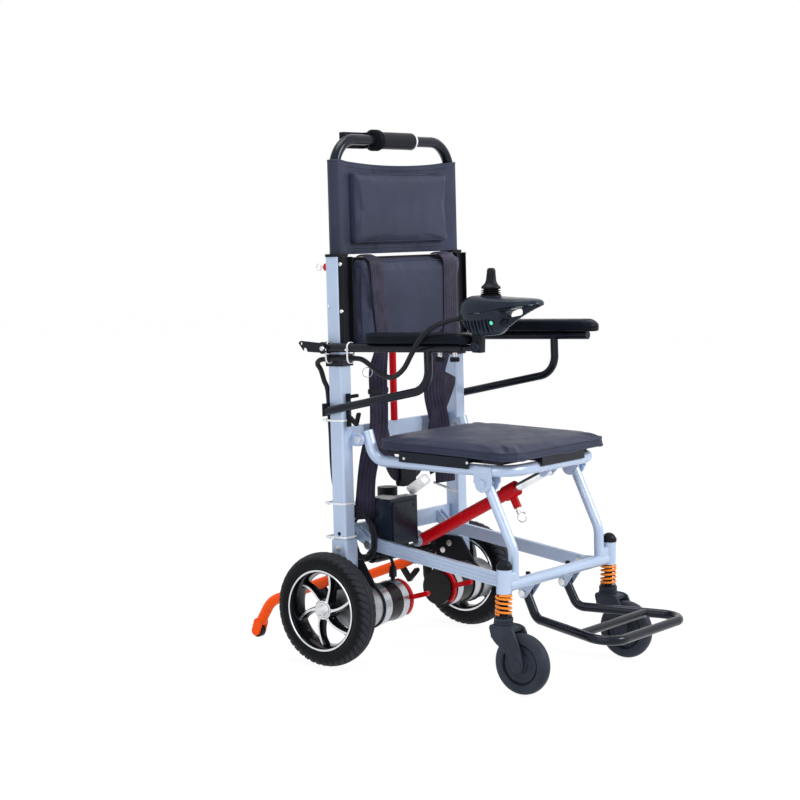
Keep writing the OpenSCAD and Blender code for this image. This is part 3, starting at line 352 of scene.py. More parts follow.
class Finish:
    """A procedural material on object coordinates: tone from soft noise, bump from fine noise."""

    def __init__(self, name, colour, rough, metal=0.0, **sockets):
        self.mat = bpy.data.materials.new(name)
        self.mat.use_nodes = True
        self.mat.diffuse_color = (*colour, 1)
        self.tree = self.mat.node_tree
        self.shader = self.tree.nodes["Principled BSDF"]
        sockets.update(Base_Color=(*colour, 1), Roughness=rough, Metallic=metal)
        for key, value in sockets.items():
            self.shader.inputs[key.replace("_", " ")].default_value = value
        self.colour, self.normal = colour, None
        coords = self.add("TexCoord")
        self.place, self.uv = coords.outputs["Object"], coords.outputs["UV"]

    def add(self, kind, settings=None, **inputs):
        return node(self.tree, kind, settings, **inputs)

    def feed(self, socket, source):
        self.tree.links.new(source, self.shader.inputs[socket])

    def noise(self, scale, detail=3.0):
        """Noise of features about 1/scale metres across."""
        n = self.add("TexNoise", Vector=self.place, Scale=scale, Detail=detail, Roughness=0.55)
        return n.outputs["Fac"]

    def about_axle(self, scale):
        """Object coordinates about the middle of the rear axle, each scaled."""
        centre = (0, -AXLE_Y / 1000, -WHEEL_R / 1000)
        return self.add("Mapping", Vector=self.place, Location=centre, Scale=scale).outputs["Vector"]

    def axes(self, vector=None):
        """The three coordinates of a vector, by default of the place on the object."""
        return self.add("SeparateXYZ", Vector=vector or self.place).outputs

    def spread(self, source, low, high, to_low, to_high):
        """Maps low..high of a source to another range."""
        n = self.add("MapRange", Value=source, From_Min=low, From_Max=high,
                     To_Min=to_low, To_Max=to_high)
        return n.outputs["Result"]

    def ramp(self, source, stops, constant=False):
        """Colour ramp with (place, colour) stops."""
        n = self.add("ValToRGB", Fac=source)
        n.color_ramp.interpolation = "CONSTANT" if constant else "LINEAR"
        el = n.color_ramp.elements
        while len(el) < len(stops):
            el.new(0.5)
        for e, (place, colour) in zip(el, stops):
            e.position, e.color = place, (*colour, 1)
        return n.outputs["Color"]

    def bands(self, source, stops):
        """Sharp bands along a source: the colour and the metal share from each (place, colour, metal)."""
        self.feed("Base Color", self.ramp(source, [(at, colour) for at, colour, _ in stops], True))
        self.feed("Metallic", self.ramp(source, [(at, (metal,) * 3) for at, _, metal in stops], True))
        return self

    def math(self, operation, a, b=0.0):
        return self.add("Math", {"operation": operation}, _0=a, _1=b).outputs[0]

    def wave(self, source, pitch):
        """Sine of a source in metres, with that pitch."""
        return self.math("SINE", self.math("MULTIPLY", source, TAU / pitch))

    def tone(self, source, dark, light, low=0.3, high=0.7):
        """Base colour between dark and light shares of the finish's own colour."""
        ends = [[min(1, c * share) for c in self.colour] for share in (dark, light)]
        self.feed("Base Color", self.ramp(source, list(zip((low, high), ends))))
        return self

    def gloss(self, source, low, high):
        """Roughness that wanders between low and high."""
        self.feed("Roughness", self.spread(source, 0.3, 0.7, low, high))
        return self

    def rounded_edge(self, radius):
        """Normals averaged over the radius, so that hard corners catch light as rounded ones do."""
        self.normal = self.add("Bevel", {"samples": 4}, Radius=radius).outputs["Normal"]
        return self

    def bump(self, height, strength, distance):
        """Adds relief of that height in metres to the normal."""
        below = {} if self.normal is None else {"Normal": self.normal}
        n = self.add("Bump", Height=height, Strength=strength, Distance=distance, **below)
        self.normal = n.outputs["Normal"]
        return self

    def done(self):
        if self.normal is not None:
            self.feed("Normal", self.normal)
        return self.mat


COOL = (0.72, 0.82, 1.0, 1)


def enamel(name, colour, rough=0.22, coat=0.08, shine=0.2):
    """Glossy paint: slight tone, orange peel and rounded corners."""
    f = Finish(name, colour, rough, Coat_Weight=coat, Coat_Roughness=0.08,
               Specular_IOR_Level=shine, Specular_Tint=COOL)
    f.tone(f.noise(11, 3), 0.88, 1.1).gloss(f.noise(45, 4), rough * 0.8, rough * 1.5)
    return f.rounded_edge(0.0008).bump(f.noise(900, 1), 0.05, 0.0005).done()


def moulded(name, colour, rough=0.45, grain=0.25, shine=0.16):
    """Moulded plastic: spark-eroded grain, rounded corners and worn sheen."""
    f = Finish(name, colour, rough, Specular_IOR_Level=shine, Specular_Tint=COOL)
    f.tone(f.noise(18, 4), 0.78, 1.3).gloss(f.noise(30, 5), rough * 0.8, rough * 1.25)
    return f.rounded_edge(0.0008).bump(f.noise(2400, 2), grain, 0.0003).done()


def bare_metal(name, colour, rough=0.28):
    """Bare or plated metal with fine marks."""
    f = Finish(name, colour, rough, 1.0)
    marks = f.noise(900, 3)
    f.tone(f.noise(40, 4), 0.82, 1.12).gloss(marks, rough * 0.7, rough * 1.4)
    return f.rounded_edge(0.0006).bump(marks, 0.08, 0.0002).done()


def powder_coat(colour):
    """Satin coat of the frame's tubes: hardly any tone, a soft peel and rounded corners."""
    f = Finish("frame_powder_coat", colour, 0.34, 0.3, Coat_Weight=0.2, Coat_Roughness=0.18)
    f.tone(f.noise(7, 4), 0.95, 1.04).gloss(f.noise(60, 4), 0.28, 0.42)
    return f.rounded_edge(0.0012).bump(f.noise(1500, 1), 0.05, 0.0004).done()


def machined_face():
    """Bright turned face of the rims: rings about the axle."""
    f = Finish("machined_face", (0.7, 0.71, 0.74), 0.16, 1.0)
    settings = {"wave_type": "RINGS", "rings_direction": "X"}
    hub = f.about_axle((1, 1, 1))
    rings = f.add("TexWave", settings, Vector=hub, Scale=420, Distortion=0.4, Detail=1).outputs["Fac"]
    return f.gloss(rings, 0.12, 0.24).bump(rings, 0.05, 0.0001).done()


def leatherette(colour):
    """Coated cloth: pebble grain from warped cell edges, soft unevenness and worn gloss."""
    f = Finish("slate_leatherette", colour, 0.44, Specular_IOR_Level=0.16, Sheen_Weight=0.03)
    warp = f.add("MixRGB", _0=0.0025, _1=f.place, _2=f.noise(300, 2)).outputs[0]
    cells = f.add("TexVoronoi", {"feature": "DISTANCE_TO_EDGE"}, Vector=warp, Scale=640)
    f.tone(f.noise(8, 4), 0.8, 1.25).gloss(f.noise(22, 4), 0.4, 0.56)
    f.bump(f.noise(26, 3), 0.1, 0.006)
    return f.bump(f.spread(cells.outputs["Distance"], 0.0, 0.25, 0, 1), 0.22, 0.0005).done()


def belt_webbing(colour):
    """Woven belt on its own UV, metres along and across: ridges along it and a fine cross weave, with painted
    sheen: the colour is lighter along the ridges, in streaks that stand in for satin highlights.
    """
    f = Finish("belt_webbing", colour, 0.36,
               Specular_IOR_Level=0.16, Sheen_Weight=0.06, Sheen_Roughness=0.4)
    run, across, _ = f.axes(f.uv)
    rib = f.wave(across, 0.0088)
    weave = f.math("MULTIPLY", f.wave(run, 0.0017), f.wave(across, 0.0013))
    # Painted sheen: the ridges lighten the colour in lengthwise streaks standing in for satin highlights; the
    # noise adds random tone.
    f.tone(f.math("ADD", f.math("MULTIPLY", rib, 0.12), f.noise(30, 4)), 0.6, 1.9)
    return f.bump(rib, 0.35, 0.0006).bump(weave, 0.35, 0.0003).done()


def tyre_rubber(colour):
    """Tyre rubber: smooth black walls, and from about 112 mm round the axle the dusty, duller tread."""
    f = Finish("tyre_rubber", colour, 0.4, Specular_IOR_Level=0.12)
    reach = f.add("VectorMath", {"operation": "LENGTH"}, _0=f.about_axle((0, 1, 1))).outputs["Value"]
    tread = f.spread(reach, 0.111, 0.119, 0.0, 1.0)
    dust = f.math("MULTIPLY", tread, f.spread(f.noise(90, 5), 0.3, 0.7, 0.6, 1.0))
    f.feed("Base Color", f.ramp(dust, ((0.0, colour), (1.0, (0.034, 0.035, 0.043)))))
    f.feed("Roughness", f.spread(tread, 0.0, 1.0, 0.32, 0.6))
    return f.bump(f.noise(1300, 3), 0.15, 0.0004).done()


def motor_case():
    """Motor bands by distance from the middle: black cap, silver ring, black can, silver flange."""
    f = Finish("motor_case", (0.01, 0.01, 0.012), 0.3, Specular_IOR_Level=0.2)
    band = f.spread(f.math("ABSOLUTE", f.axes()[0]), 0.0, 0.2, 0.0, 1.0)
    black, silver = ((0.007, 0.007, 0.008), 0), ((0.5, 0.52, 0.56), 0.9)
    f.bands(band, ((0.0, *black), (0.461, *silver), (0.57, *black), (0.791, *silver)))
    f.gloss(f.noise(80, 4), 0.2, 0.36)
    return f.rounded_edge(0.001).bump(f.noise(700, 2), 0.08, 0.0003).done()


def climb_paint(colour):
    """Orange from 74 mm behind the rear axle on; the pivot end and the stay under the tube, whose lower
    side is the line z + 0.414 y = 183 mm, are black."""
    f = Finish("climb_arm_paint", colour, 0.26, Coat_Weight=0.03, Specular_IOR_Level=0.12)
    _, y, z = f.axes()
    y = f.math("SUBTRACT", y, AXLE_Y / 1000)
    under = f.math("LESS_THAN", f.math("ADD", z, f.math("MULTIPLY", y, 0.414)), 0.183)
    stay = f.math("MULTIPLY", under, f.math("LESS_THAN", y, 0.118))
    dark = f.math("MAXIMUM", stay, f.math("LESS_THAN", y, 0.074))
    f.feed("Base Color", f.ramp(dark, ((0.0, colour), (0.5, (0.008, 0.008, 0.009))), True))
    f.gloss(f.noise(45, 4), 0.2, 0.36)
    return f.rounded_edge(0.0008).bump(f.noise(900, 1), 0.05, 0.0005).done()


def plunger_bands(colour):
    """Red sleeve between the bright neck and pull ring of the handle's lock, by distance behind the post."""
    f = Finish("plunger_bands", colour, 0.25, Specular_IOR_Level=0.25)
    band = f.spread(f.axes()[1], 0.2, 0.26, 0.0, 1.0)
    steel = ((0.72, 0.73, 0.75), 1)
    f.bands(band, ((0.0, *steel), (0.25, colour, 0), (0.453, *steel)))
    return f.gloss(f.noise(200, 3), 0.2, 0.32).rounded_edge(0.0005).done()


def status_lamp():
    """Green lamp behind a clear lens."""
    f = Finish("status_lamp", (0.1, 0.75, 0.42), 0.2,
               Emission_Color=(0.1, 0.8, 0.42, 1), Emission_Strength=0.35)
    return f.tone(f.noise(900, 1), 0.9, 1.15).done()


FINISHES = {}


def make_finishes(c):
    """Every finish of the chair by name, from the colours in the sidebar."""
    FINISHES.update(
        frame=powder_coat(tuple(c.frame)),
        black_tube=enamel("black_tube", (0.007, 0.008, 0.013), 0.18, 0.1),
        black_plastic=moulded("black_plastic", (0.007, 0.007, 0.009), 0.4),
        pad_skin=moulded("pad_skin", (0.004, 0.005, 0.009), 0.36, 0.35, 0.1),
        shell_gloss=enamel("shell_gloss", (0.011, 0.016, 0.027), 0.24),
        shell_matt=moulded("shell_matt", (0.015, 0.021, 0.035), 0.42, 0.2),
        leatherette=leatherette(tuple(c.leatherette)),
        webbing=belt_webbing(tuple(c.webbing)),
        tyre=tyre_rubber((0.003, 0.0035, 0.005)),
        rim=enamel("rim_black", (0.005, 0.005, 0.006), 0.16),
        machined=machined_face(),
        steel=bare_metal("plated_steel", (0.7, 0.71, 0.73)),
        rod=bare_metal("strut_rod_chrome", (0.82, 0.83, 0.85), 0.14),
        motor=motor_case(),
        gear_grey=bare_metal("cast_case", (0.42, 0.43, 0.46), 0.42),
        red_paint=enamel("red_paint", tuple(c.strut), coat=0.04, shine=0.12),
        climb_paint=climb_paint(tuple(c.climb_arm)),
        plunger=plunger_bands(tuple(c.strut)),
        spring_orange=enamel("spring_orange", tuple(c.spring), 0.24, 0.03, 0.12),
        caster_rubber=moulded("caster_grey", (0.027, 0.031, 0.042), 0.46),
        cable=moulded("cable_jacket", (0.008, 0.008, 0.010), 0.38, 0.15, 0.22),
        thread=moulded("dark_thread", (0.006, 0.007, 0.010), 0.6),
        white_nylon=moulded("white_nylon", (0.85, 0.86, 0.88), 0.4, 0.1),
        status_lamp=status_lamp(),
    )


NODE_FINISH = {
    "frame": "back_posts post_sleeves seat_cross_bar lower_cross_bar seat_frame side_rails front_frame",
    "black_tube": "handle_bar armrest_right armrest_left footrest armrest_brackets seat_board "
    "caster_stem_right caster_stem_left",
    "black_plastic": "post_fittings back_board handle_grip front_caps belt_buckles motor_plates "
    "climb_roller_right climb_roller_left climb_gearbox joystick_housing joystick_stick",
    "shell_gloss": "battery_box controller_box",
    "pad_skin": "arm_pad_right arm_pad_left",
    "leatherette": "back_pad head_sling head_pad seat_cushion",
    "webbing": "harness",
    "tyre": "tyre_right tyre_left",
    "rim": "wheel_right wheel_left",
    "steel": "frame_bolts front_bolts strut_pin",
    "rod": "strut_rod",
    "motor": "drive_motors",
    "gear_grey": "drive_gearboxes climb_switch",
    "red_paint": "centre_stay strut_tube brake_lever_right brake_lever_left",
    "plunger": "lock_plunger",
    "climb_paint": "climb_arms",
    "spring_orange": "caster_spring_right caster_spring_left",
    "caster_rubber": "caster_fork_right caster_fork_left caster_wheel_right caster_wheel_left",
    "cable": "wiring control_cable",
}


def colour_of(name, description, default):
    """A colour in the sidebar."""
    return FloatVectorProperty(
        name=name, description=description, subtype="COLOR", min=0, max=1, default=default)


def length_of(name, description, default, low, high):
    """A length in metres in the sidebar."""
    return FloatProperty(
        name=name, description=description, unit="LENGTH", default=default, min=low, max=high)


class ChairColours(bpy.types.PropertyGroup):
    """Colours of the painted and covered pieces."""

    frame: colour_of("Frame", "Powder coat of the tubes and posts", (0.46, 0.56, 0.735))
    leatherette: colour_of("Leatherette", "Covers of the seat, back and head rest", (0.029, 0.034, 0.063))
    webbing: colour_of("Webbing", "Belts of the harness", (0.018, 0.015, 0.033))
    strut: colour_of("Strut", "Lock strut, back stay and brake levers", (0.55, 0.003, 0.007))
    climb_arm: colour_of("Climb arms", "Swinging arms that lift the chair", (1.0, 0.09, 0.001))
    spring: colour_of("Springs", "Coil springs of the casters", (1.0, 0.28, 0.03))


class ChairSizes(bpy.types.PropertyGroup):
    """Sizes of the covers and trim."""

    piping: length_of("Piping", "Diameter of the welt sewn round the covers", 0.0036, 0.001, 0.008)
    tread: length_of("Tread depth", "Depth of the grooves in the rear tyres", 0.0032, 0.0005, 0.004)
    cable: length_of("Cable diameter", "Diameter of the joystick's lead", 0.011, 0.006, 0.014)
    pitches: IntProperty(
        name="Tread pitches", description="Number of tread blocks round a rear tyre",
        default=44, min=24, max=72)


class Build:
    """What every operator of the chair shares."""

    bl_options = {"REGISTER"}

    def execute(self, context):
        self.colours, self.sizes = context.scene.chair_colours, context.scene.chair_sizes
        self.make(context)
        return {"FINISHED"}


class CHAIR_OT_stage(Build, bpy.types.Operator):
    """Floor, soft studio light and the camera of the picture"""

    bl_idname = "chair.stage"
    bl_label = "Stage"
    reach, drop = 9.0, 0.0006
    aim = Vector((0, 0, 0.55))
    eye = (-3.5853, -2.504, 1.0424)
    yaw_pitch_roll = (53.164, 6.151, 0.443)
    lens, sensor = 89.772, 36

    def make(self, context):
        self.white_world(context.scene)
        self.floor()
        self.lamps(context.scene)
        self.camera(context.scene)
        context.scene.view_settings.view_transform = "Standard"

    @staticmethod
    def seen_directly(tree):
        """1 for rays that the eye, a mirror or glass sends, 0 for light that bounces."""
        path = node(tree, "LightPath").outputs
        seen = path["Is Camera Ray"]
        for kind in ("Is Glossy Ray", "Is Transmission Ray"):
            settings = {"operation": "ADD", "use_clamp": True}
            seen = node(tree, "Math", settings, _0=seen, _1=path[kind]).outputs[0]
        return seen

    def white_world(self, scene):
        world = scene.world = bpy.data.worlds.new("studio")
        world.use_nodes = True
        tree = world.node_tree
        light = tree.nodes["Background"]
        light.inputs["Color"].default_value = (0.93, 0.96, 1.0, 1)
        light.inputs["Strength"].default_value = 0.55
        white = node(tree, "Background", Color=(1, 1, 1, 1))
        seen = self.seen_directly(tree)
        mix = node(tree, "MixShader", _0=seen, _1=light.outputs[0], _2=white.outputs[0])
        tree.links.new(mix.outputs[0], tree.nodes["World Output"].inputs["Surface"])

    def floor(self):
        f = Finish("pale_floor", (0.9, 0.9, 0.91), 0.9)
        f.tone(f.noise(3, 2), 0.98, 1.02)
        glow = f.add("Emission", Color=(1, 1, 1, 1), Strength=1.06).outputs[0]
        share = f.math("MULTIPLY", self.seen_directly(f.tree), 0.88)
        mix = f.add("MixShader", _0=share, _1=f.shader.outputs[0], _2=glow)
        f.tree.links.new(mix.outputs[0], f.tree.nodes["Material Output"].inputs["Surface"])
        FINISHES["floor"] = f.done()
        s = np.linspace(-self.reach, self.reach, 9)
        p = np.stack(np.meshgrid(s, s, [-self.drop], indexing="ij"), -1)[:, :, 0]
        Skin("floor").grid(p).build("floor", None, recalc=False)

    def lamps(self, scene):
        """Three soft boxes: key from before the chair's left side, a wide fill by the camera, one above."""
        for name, watts, size, at in (
            ("key", 95, 1.3, (1.2, -3.2, 2.6)),
            ("fill", 40, 3.0, (-3.6, -1.0, 1.8)),
            ("top", 45, 1.7, (-0.3, 0.3, 3.4)),
        ):
            data = bpy.data.lights.new(name, "AREA")
            data.energy, data.size = watts, size
            lamp = bpy.data.objects.new(name, data)
            lamp.location = at
            lamp.rotation_euler = (self.aim - lamp.location).to_track_quat("-Z", "Y").to_euler()
            scene.collection.objects.link(lamp)

    def camera(self, scene):
        yaw, pitch, roll = (math.radians(a) for a in self.yaw_pitch_roll)
        level = math.cos(pitch)
        ahead = Vector((math.sin(yaw) * level, math.cos(yaw) * level, -math.sin(pitch)))
        right = Vector((math.cos(yaw), -math.sin(yaw), 0))
        up = right.cross(ahead)
        x = right * math.cos(roll) + up * math.sin(roll)
        y = up * math.cos(roll) - right * math.sin(roll)
        data = bpy.data.cameras.new("camera")
        data.lens, data.sensor_width = self.lens, self.sensor
        camera = bpy.data.objects.new("camera", data)
        camera.matrix_world = Matrix.Translation(self.eye) @ Matrix((x, y, -ahead)).transposed().to_4x4()
        scene.collection.objects.link(camera)
        scene.camera = camera


class CHAIR_OT_finishes(Build, bpy.types.Operator):
    """Procedural finish of every solid"""

    bl_idname = "chair.finishes"
    bl_label = "Finishes"

    def make(self, context):
        make_finishes(self.colours)
        named = {n: key for key, names in NODE_FINISH.items() for n in names.split()}
        missing = set(frame["nodes"]) ^ set(named)
        if missing:
            raise ValueError(f"no finish or no solid for {sorted(missing)}")
        for name, key in named.items():
            mesh = frame["nodes"][name].data
            mesh.materials.clear()
            mesh.materials.append(FINISHES[key])


# Pieces

JOYSTICK_LEAD = (
    (-250, -360, 775), (-254, -344, 774), (-263, -316, 768), (-272, -290, 757), (-278, -268, 742),
    (-279.5, -247, 719), (-274, -225, 690), (-265, -202, 663), (-256, -175, 645), (-250, -151, 639),
    (-247, -122, 647), (-245, -99, 660), (-244, -74, 672), (-243.5, -46, 673), (-243.5, -10, 671),
    (-243.5, 16, 669), (-244, 27, 667), (-243, 42, 664), (-238, 53, 655), (-231, 49, 641),
    (-226, 44, 618), (-222, 38, 600), (-218, 36, 560), (-214, 34, 500), (-212, 32, 440), (-205, 31, 390),
    (-190, 28, 358), (-160, 25, 335), (-115, 23, 328), (-92, 16, 326), (-88, 3, 325),
)
LOOMS = {
    "motor_loom": (
        (-110, -6, 290), (-122, -4, 304), (-132, 4, 308), (-142, 18, 304), (-149, 24, 280), (-150, 20, 246),
        (-144, 8, 226), (-128, -10, 222), (-108, -32, 226), (-99, -45, 219), (-97, -50, 198), (-97, -50, 167)),
    "far_motor_lead": (
        (-43, -30, 252), (-41, -31, 226), (-10, -36, 198), (40, -44, 186), (90, -50, 179), (106, -50, 168)),
    "spare_loop_0": (
        (-184, -8, 338), (-182, -22, 332), (-180, -38, 318), (-178, -50, 296), (-177, -55, 268),
        (-177, -50, 243), (-178, -38, 229), (-180, -23, 231), (-182, -13, 248), (-184, -8, 270),
        (-185, -6, 292)),
    "spare_loop_1": (
        (-186, -10, 326), (-181, -27, 323), (-175, -45, 311), (-173, -57, 288), (-173, -60, 260),
        (-174, -52, 236), (-176, -36, 225), (-179, -20, 236), (-182, -12, 258), (-184, -8, 282)),
}


class CHAIR_OT_cables(Build, bpy.types.Operator):
    """Joystick lead, routed past the armrest's pivot, and the looms of the drive motors"""

    bl_idname = "chair.cables"
    bl_label = "Cables"

    def make(self, context):
        self.lead()
        for name, points in LOOMS.items():
            self.loom(name, points)
        self.connector()
        self.key_ring()

    def lead(self):
        """Round jacket carried along the lead's route."""
        path = axle(curve(JOYSTICK_LEAD, 8))
        k, d = 20, self.sizes.cable
        run = along(path)
        uv = (run, np.linspace(0, math.pi * d, k + 1))
        lead = Skin("cable").tube(sweep(path, ring(d / 2, k)), uv=uv).build("joystick_lead", None, "cable")
        relief = self.relief(path)
        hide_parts("control_cable", "wiring")
        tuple(path[0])
        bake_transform(lead)

    def relief(self, path):
        """Ribbed sleeve that narrows along the lead: r falls from 9.5 to 6.3 mm over seven ribs."""
        s = np.linspace(0, 1, 57)
        r = 9.5 - 3.2 * s - 1.1 * (np.sin(s * 7 * TAU) > 0.2) * (s > 0.08)
        r[[0, -1]] = 5.4, 5.6
        shape = turned(np.stack([-4 + 30 * s, r], -1), 24) / 1000
        skin = Skin("black_plastic").tube(onto(shape, path[0], path[4] - path[0]))
        return skin.build("joystick_lead_relief", "arm_right", "black_plastic", 30)

    def loom(self, name, points):
        """Three leads twisted about the route: offset 2.1 mm turned once every 55 mm."""
        path = axle(curve(points, 10))
        side, up = cross_frame(path, ASKEW)
        run = along(path)
        skin = Skin("cable")
        for strand in range(3):
            a = (run / 0.055 * TAU + strand * TAU / 3)[:, None]
            wound = path + 0.0021 * (np.cos(a) * side + np.sin(a) * up)
            skin.tube(sweep(wound, ring(0.0019, 12)), uv=(run, np.linspace(0, 0.012, 13)))
        loom = skin.build(name, "chassis", "cable")
        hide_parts("wiring")
        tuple(path[0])

    def connector(self):
        """Plug in the near motor's lead: a stepped block with rounded corners round the hanging run."""
        block = stacked(rounded(15, 13, 2.4, 5), (
            (170, 0.5), (171, 0.6), (176, 0.62), (176.4, 0.96), (177, 1), (190, 1), (190.6, 0.9),
            (191, 0.88), (199, 0.86), (199.6, 0.8), (200, 0.55), (207, 0.46), (207.5, 0.4)))
        skin = Skin("black_plastic").tube(axle(block + (-97, -50, 0)))
        skin.build("motor_lead_plug", "chassis", "black_plastic", 35)

    def key_ring(self):
        """Split ring that hangs on the lead behind the arm pad: two turns of wire, a wire apart."""
        wire, r = 0.8, 10.4
        turn = np.linspace(0, 2 * TAU, 97)[:, None]
        path = (-246, -90.4, 645.6) + r * (np.cos(turn) * FACE_LEVEL + np.sin(turn) * UP)
        path = path + np.linspace(-wire, wire, 97)[:, None] * FACE_OUT
        skin = Skin("gear_grey").tube(axle(sweep(path, ring(wire, 8), FACE_OUT)))
        skin.build("lead_key_ring", "arm_right", "steel", 50)


def stuffed(name, place, size, corner, crown, cap, body, pull=3.0):
    """Sewn pad: a rounded slab with its sides pulled in, remeshed and blown up by cloth pressure while
    its flat back is held, each point's travel capped. size is width, length and side height in mm;
    the top stands crown * (1 - s^2) above the seam at share s of the way out. Gives the pad and
    its upper and lower seams."""
    w, l, h = size
    outline = rounded(w, l, corner, 8)
    x, y = outline.T
    outline = outline - pull * np.stack([
        np.sign(x) * np.clip(1 - (2 * y / l) ** 2, 0, 1) * (abs(x) > w / 2 - corner),
        np.sign(y) * np.clip(1 - (2 * x / w) ** 2, 0, 1) * (abs(y) > l / 2 - corner)], -1)
    out = np.array([0.03, 0.35, 0.7, 0.97, 1.0, 1.0, 1.0, 0.97, 0.85, 0.7, 0.45, 0.2, 0.03])
    z = np.where(np.arange(13) < 4, -h / 2, h / 2 + crown * (1 - out**2))
    z[4:7] = -h / 2 + 2, 0, h / 2 - 1.5
    obj = Skin("leatherette").tube(stacked(outline, zip(z, out)) / 1000).build(name, None)
    remesh = obj.modifiers.new("remesh", "REMESH")
    remesh.mode, remesh.voxel_size = "VOXEL", PAD_VOXEL
    bake(obj)
    rest = points_of(obj.data)
    moved = inflate(obj, rest[:, 2] < -h / 2000 + PAD_HELD) - rest
    travel = np.linalg.norm(moved, axis=1, keepdims=True)
    rest = rest + moved * np.minimum(1, cap / 1000 / np.maximum(travel, 1e-9))
    rest[:, 2] = np.maximum(rest[:, 2], -h / 2000)
    put_points(obj.data, place(rest * 1000))
    subdivide(obj)
    settle(obj, body, 60)
    return obj, place(lift(outline, h / 2)), place(lift(outline, -h / 2 + 1.5))


def subdivide(obj):
    """One level of smooth subdivision, shown and rendered alike."""
    sub = obj.modifiers.new("smooth", "SUBSURF")
    sub.levels = sub.render_levels = 1


def points_of(mesh):
    """Vertex places of a mesh as an (n, 3) array."""
    co = np.empty(len(mesh.vertices) * 3, np.float32)
    mesh.vertices.foreach_get("co", co)
    return co.reshape(-1, 3).astype(float)


def put_points(mesh, p):
    mesh.vertices.foreach_set("co", np.asarray(p, np.float32).ravel())
    mesh.update()


def bake(obj):
    """Applies every modifier of an object to its mesh."""
    bpy.context.view_layer.update()
    solid = obj.evaluated_get(bpy.context.evaluated_depsgraph_get())
    mesh = bpy.data.meshes.new_from_object(solid)
    mesh.materials.clear()
    for m in obj.data.materials:
        mesh.materials.append(m)
    obj.modifiers.clear()
    obj.data = mesh


def inflate(obj, held):
    """Where cloth pressure carries each vertex in 20 frames, the held ones staying."""
    scene, last = bpy.context.scene, 20
    group = obj.vertex_groups.new(name="held")
    group.add(np.flatnonzero(held).tolist(), 1.0, "REPLACE")
    cloth = obj.modifiers.new("cloth", "CLOTH")
    s = cloth.settings
    s.quality, s.mass, s.vertex_group_mass = 5, 0.2, "held"
    s.tension_stiffness = s.compression_stiffness = 18
    s.shear_stiffness, s.bending_stiffness = 8, 0.8
    s.use_pressure, s.uniform_pressure_force = True, 4.0
    s.effector_weights.gravity = 0
    cloth.collision_settings.use_collision = False
    cloth.point_cache.frame_start, cloth.point_cache.frame_end = 1, last
    for f in range(1, last + 1):
        scene.frame_set(f)
    blown = points_of(obj.evaluated_get(bpy.context.evaluated_depsgraph_get()).data)
    scene.frame_set(1)
    obj.modifiers.clear()
    obj.vertex_groups.clear()
    return blown


def follow(obj, path, out=0.0):
    """A closed path drawn onto the nearest points of a pad, evened out, then pushed out from its middle."""
    skin = points_of(obj.data)
    far = ((path[:, None] - skin[None]) ** 2).sum(-1)
    p = skin[far.argmin(1)]
    for _ in range(3):
        p = (np.roll(p, 1, 0) + 2 * p + np.roll(p, -1, 0)) / 4
    return p + out * unit(p - p.mean(0))


def welt(name, obj, seams, d, body, ref):
    """Piping: a round cord carried along each seam of a pad."""
    skin = Skin("leatherette")
    for seam in seams:
        path = follow(obj, dense(seam, 220), d * 0.12)
        skin.hoop(sweep(path, ring(d / 2, 10), ref, True))
    return skin.build(name, body, "leatherette", 60)


def stitches(skin, path, ref, pitch=0.0045, length=0.003, d=0.0009):
    """A row of sewn thread: short swollen rods a pitch apart along an open path."""
    mid = points_at(path, np.arange(pitch / 2, along(path)[-1], pitch))
    side, up = cross_frame(mid, ref)
    step, fat = np.array([-0.5, -0.3, 0.3, 0.5]) * length, np.array([0.35, 1, 1, 0.35]) * d / 2
    c = ring(1, 6)
    mid, side, up, t = (v[:, None, None] for v in (mid, side, up, np.cross(side, up)))
    round_ = c[:, 0, None] * side + c[:, 1, None] * up
    for rod in mid + step[:, None, None] * t + fat[:, None, None] * round_:
        skin.tube(rod)


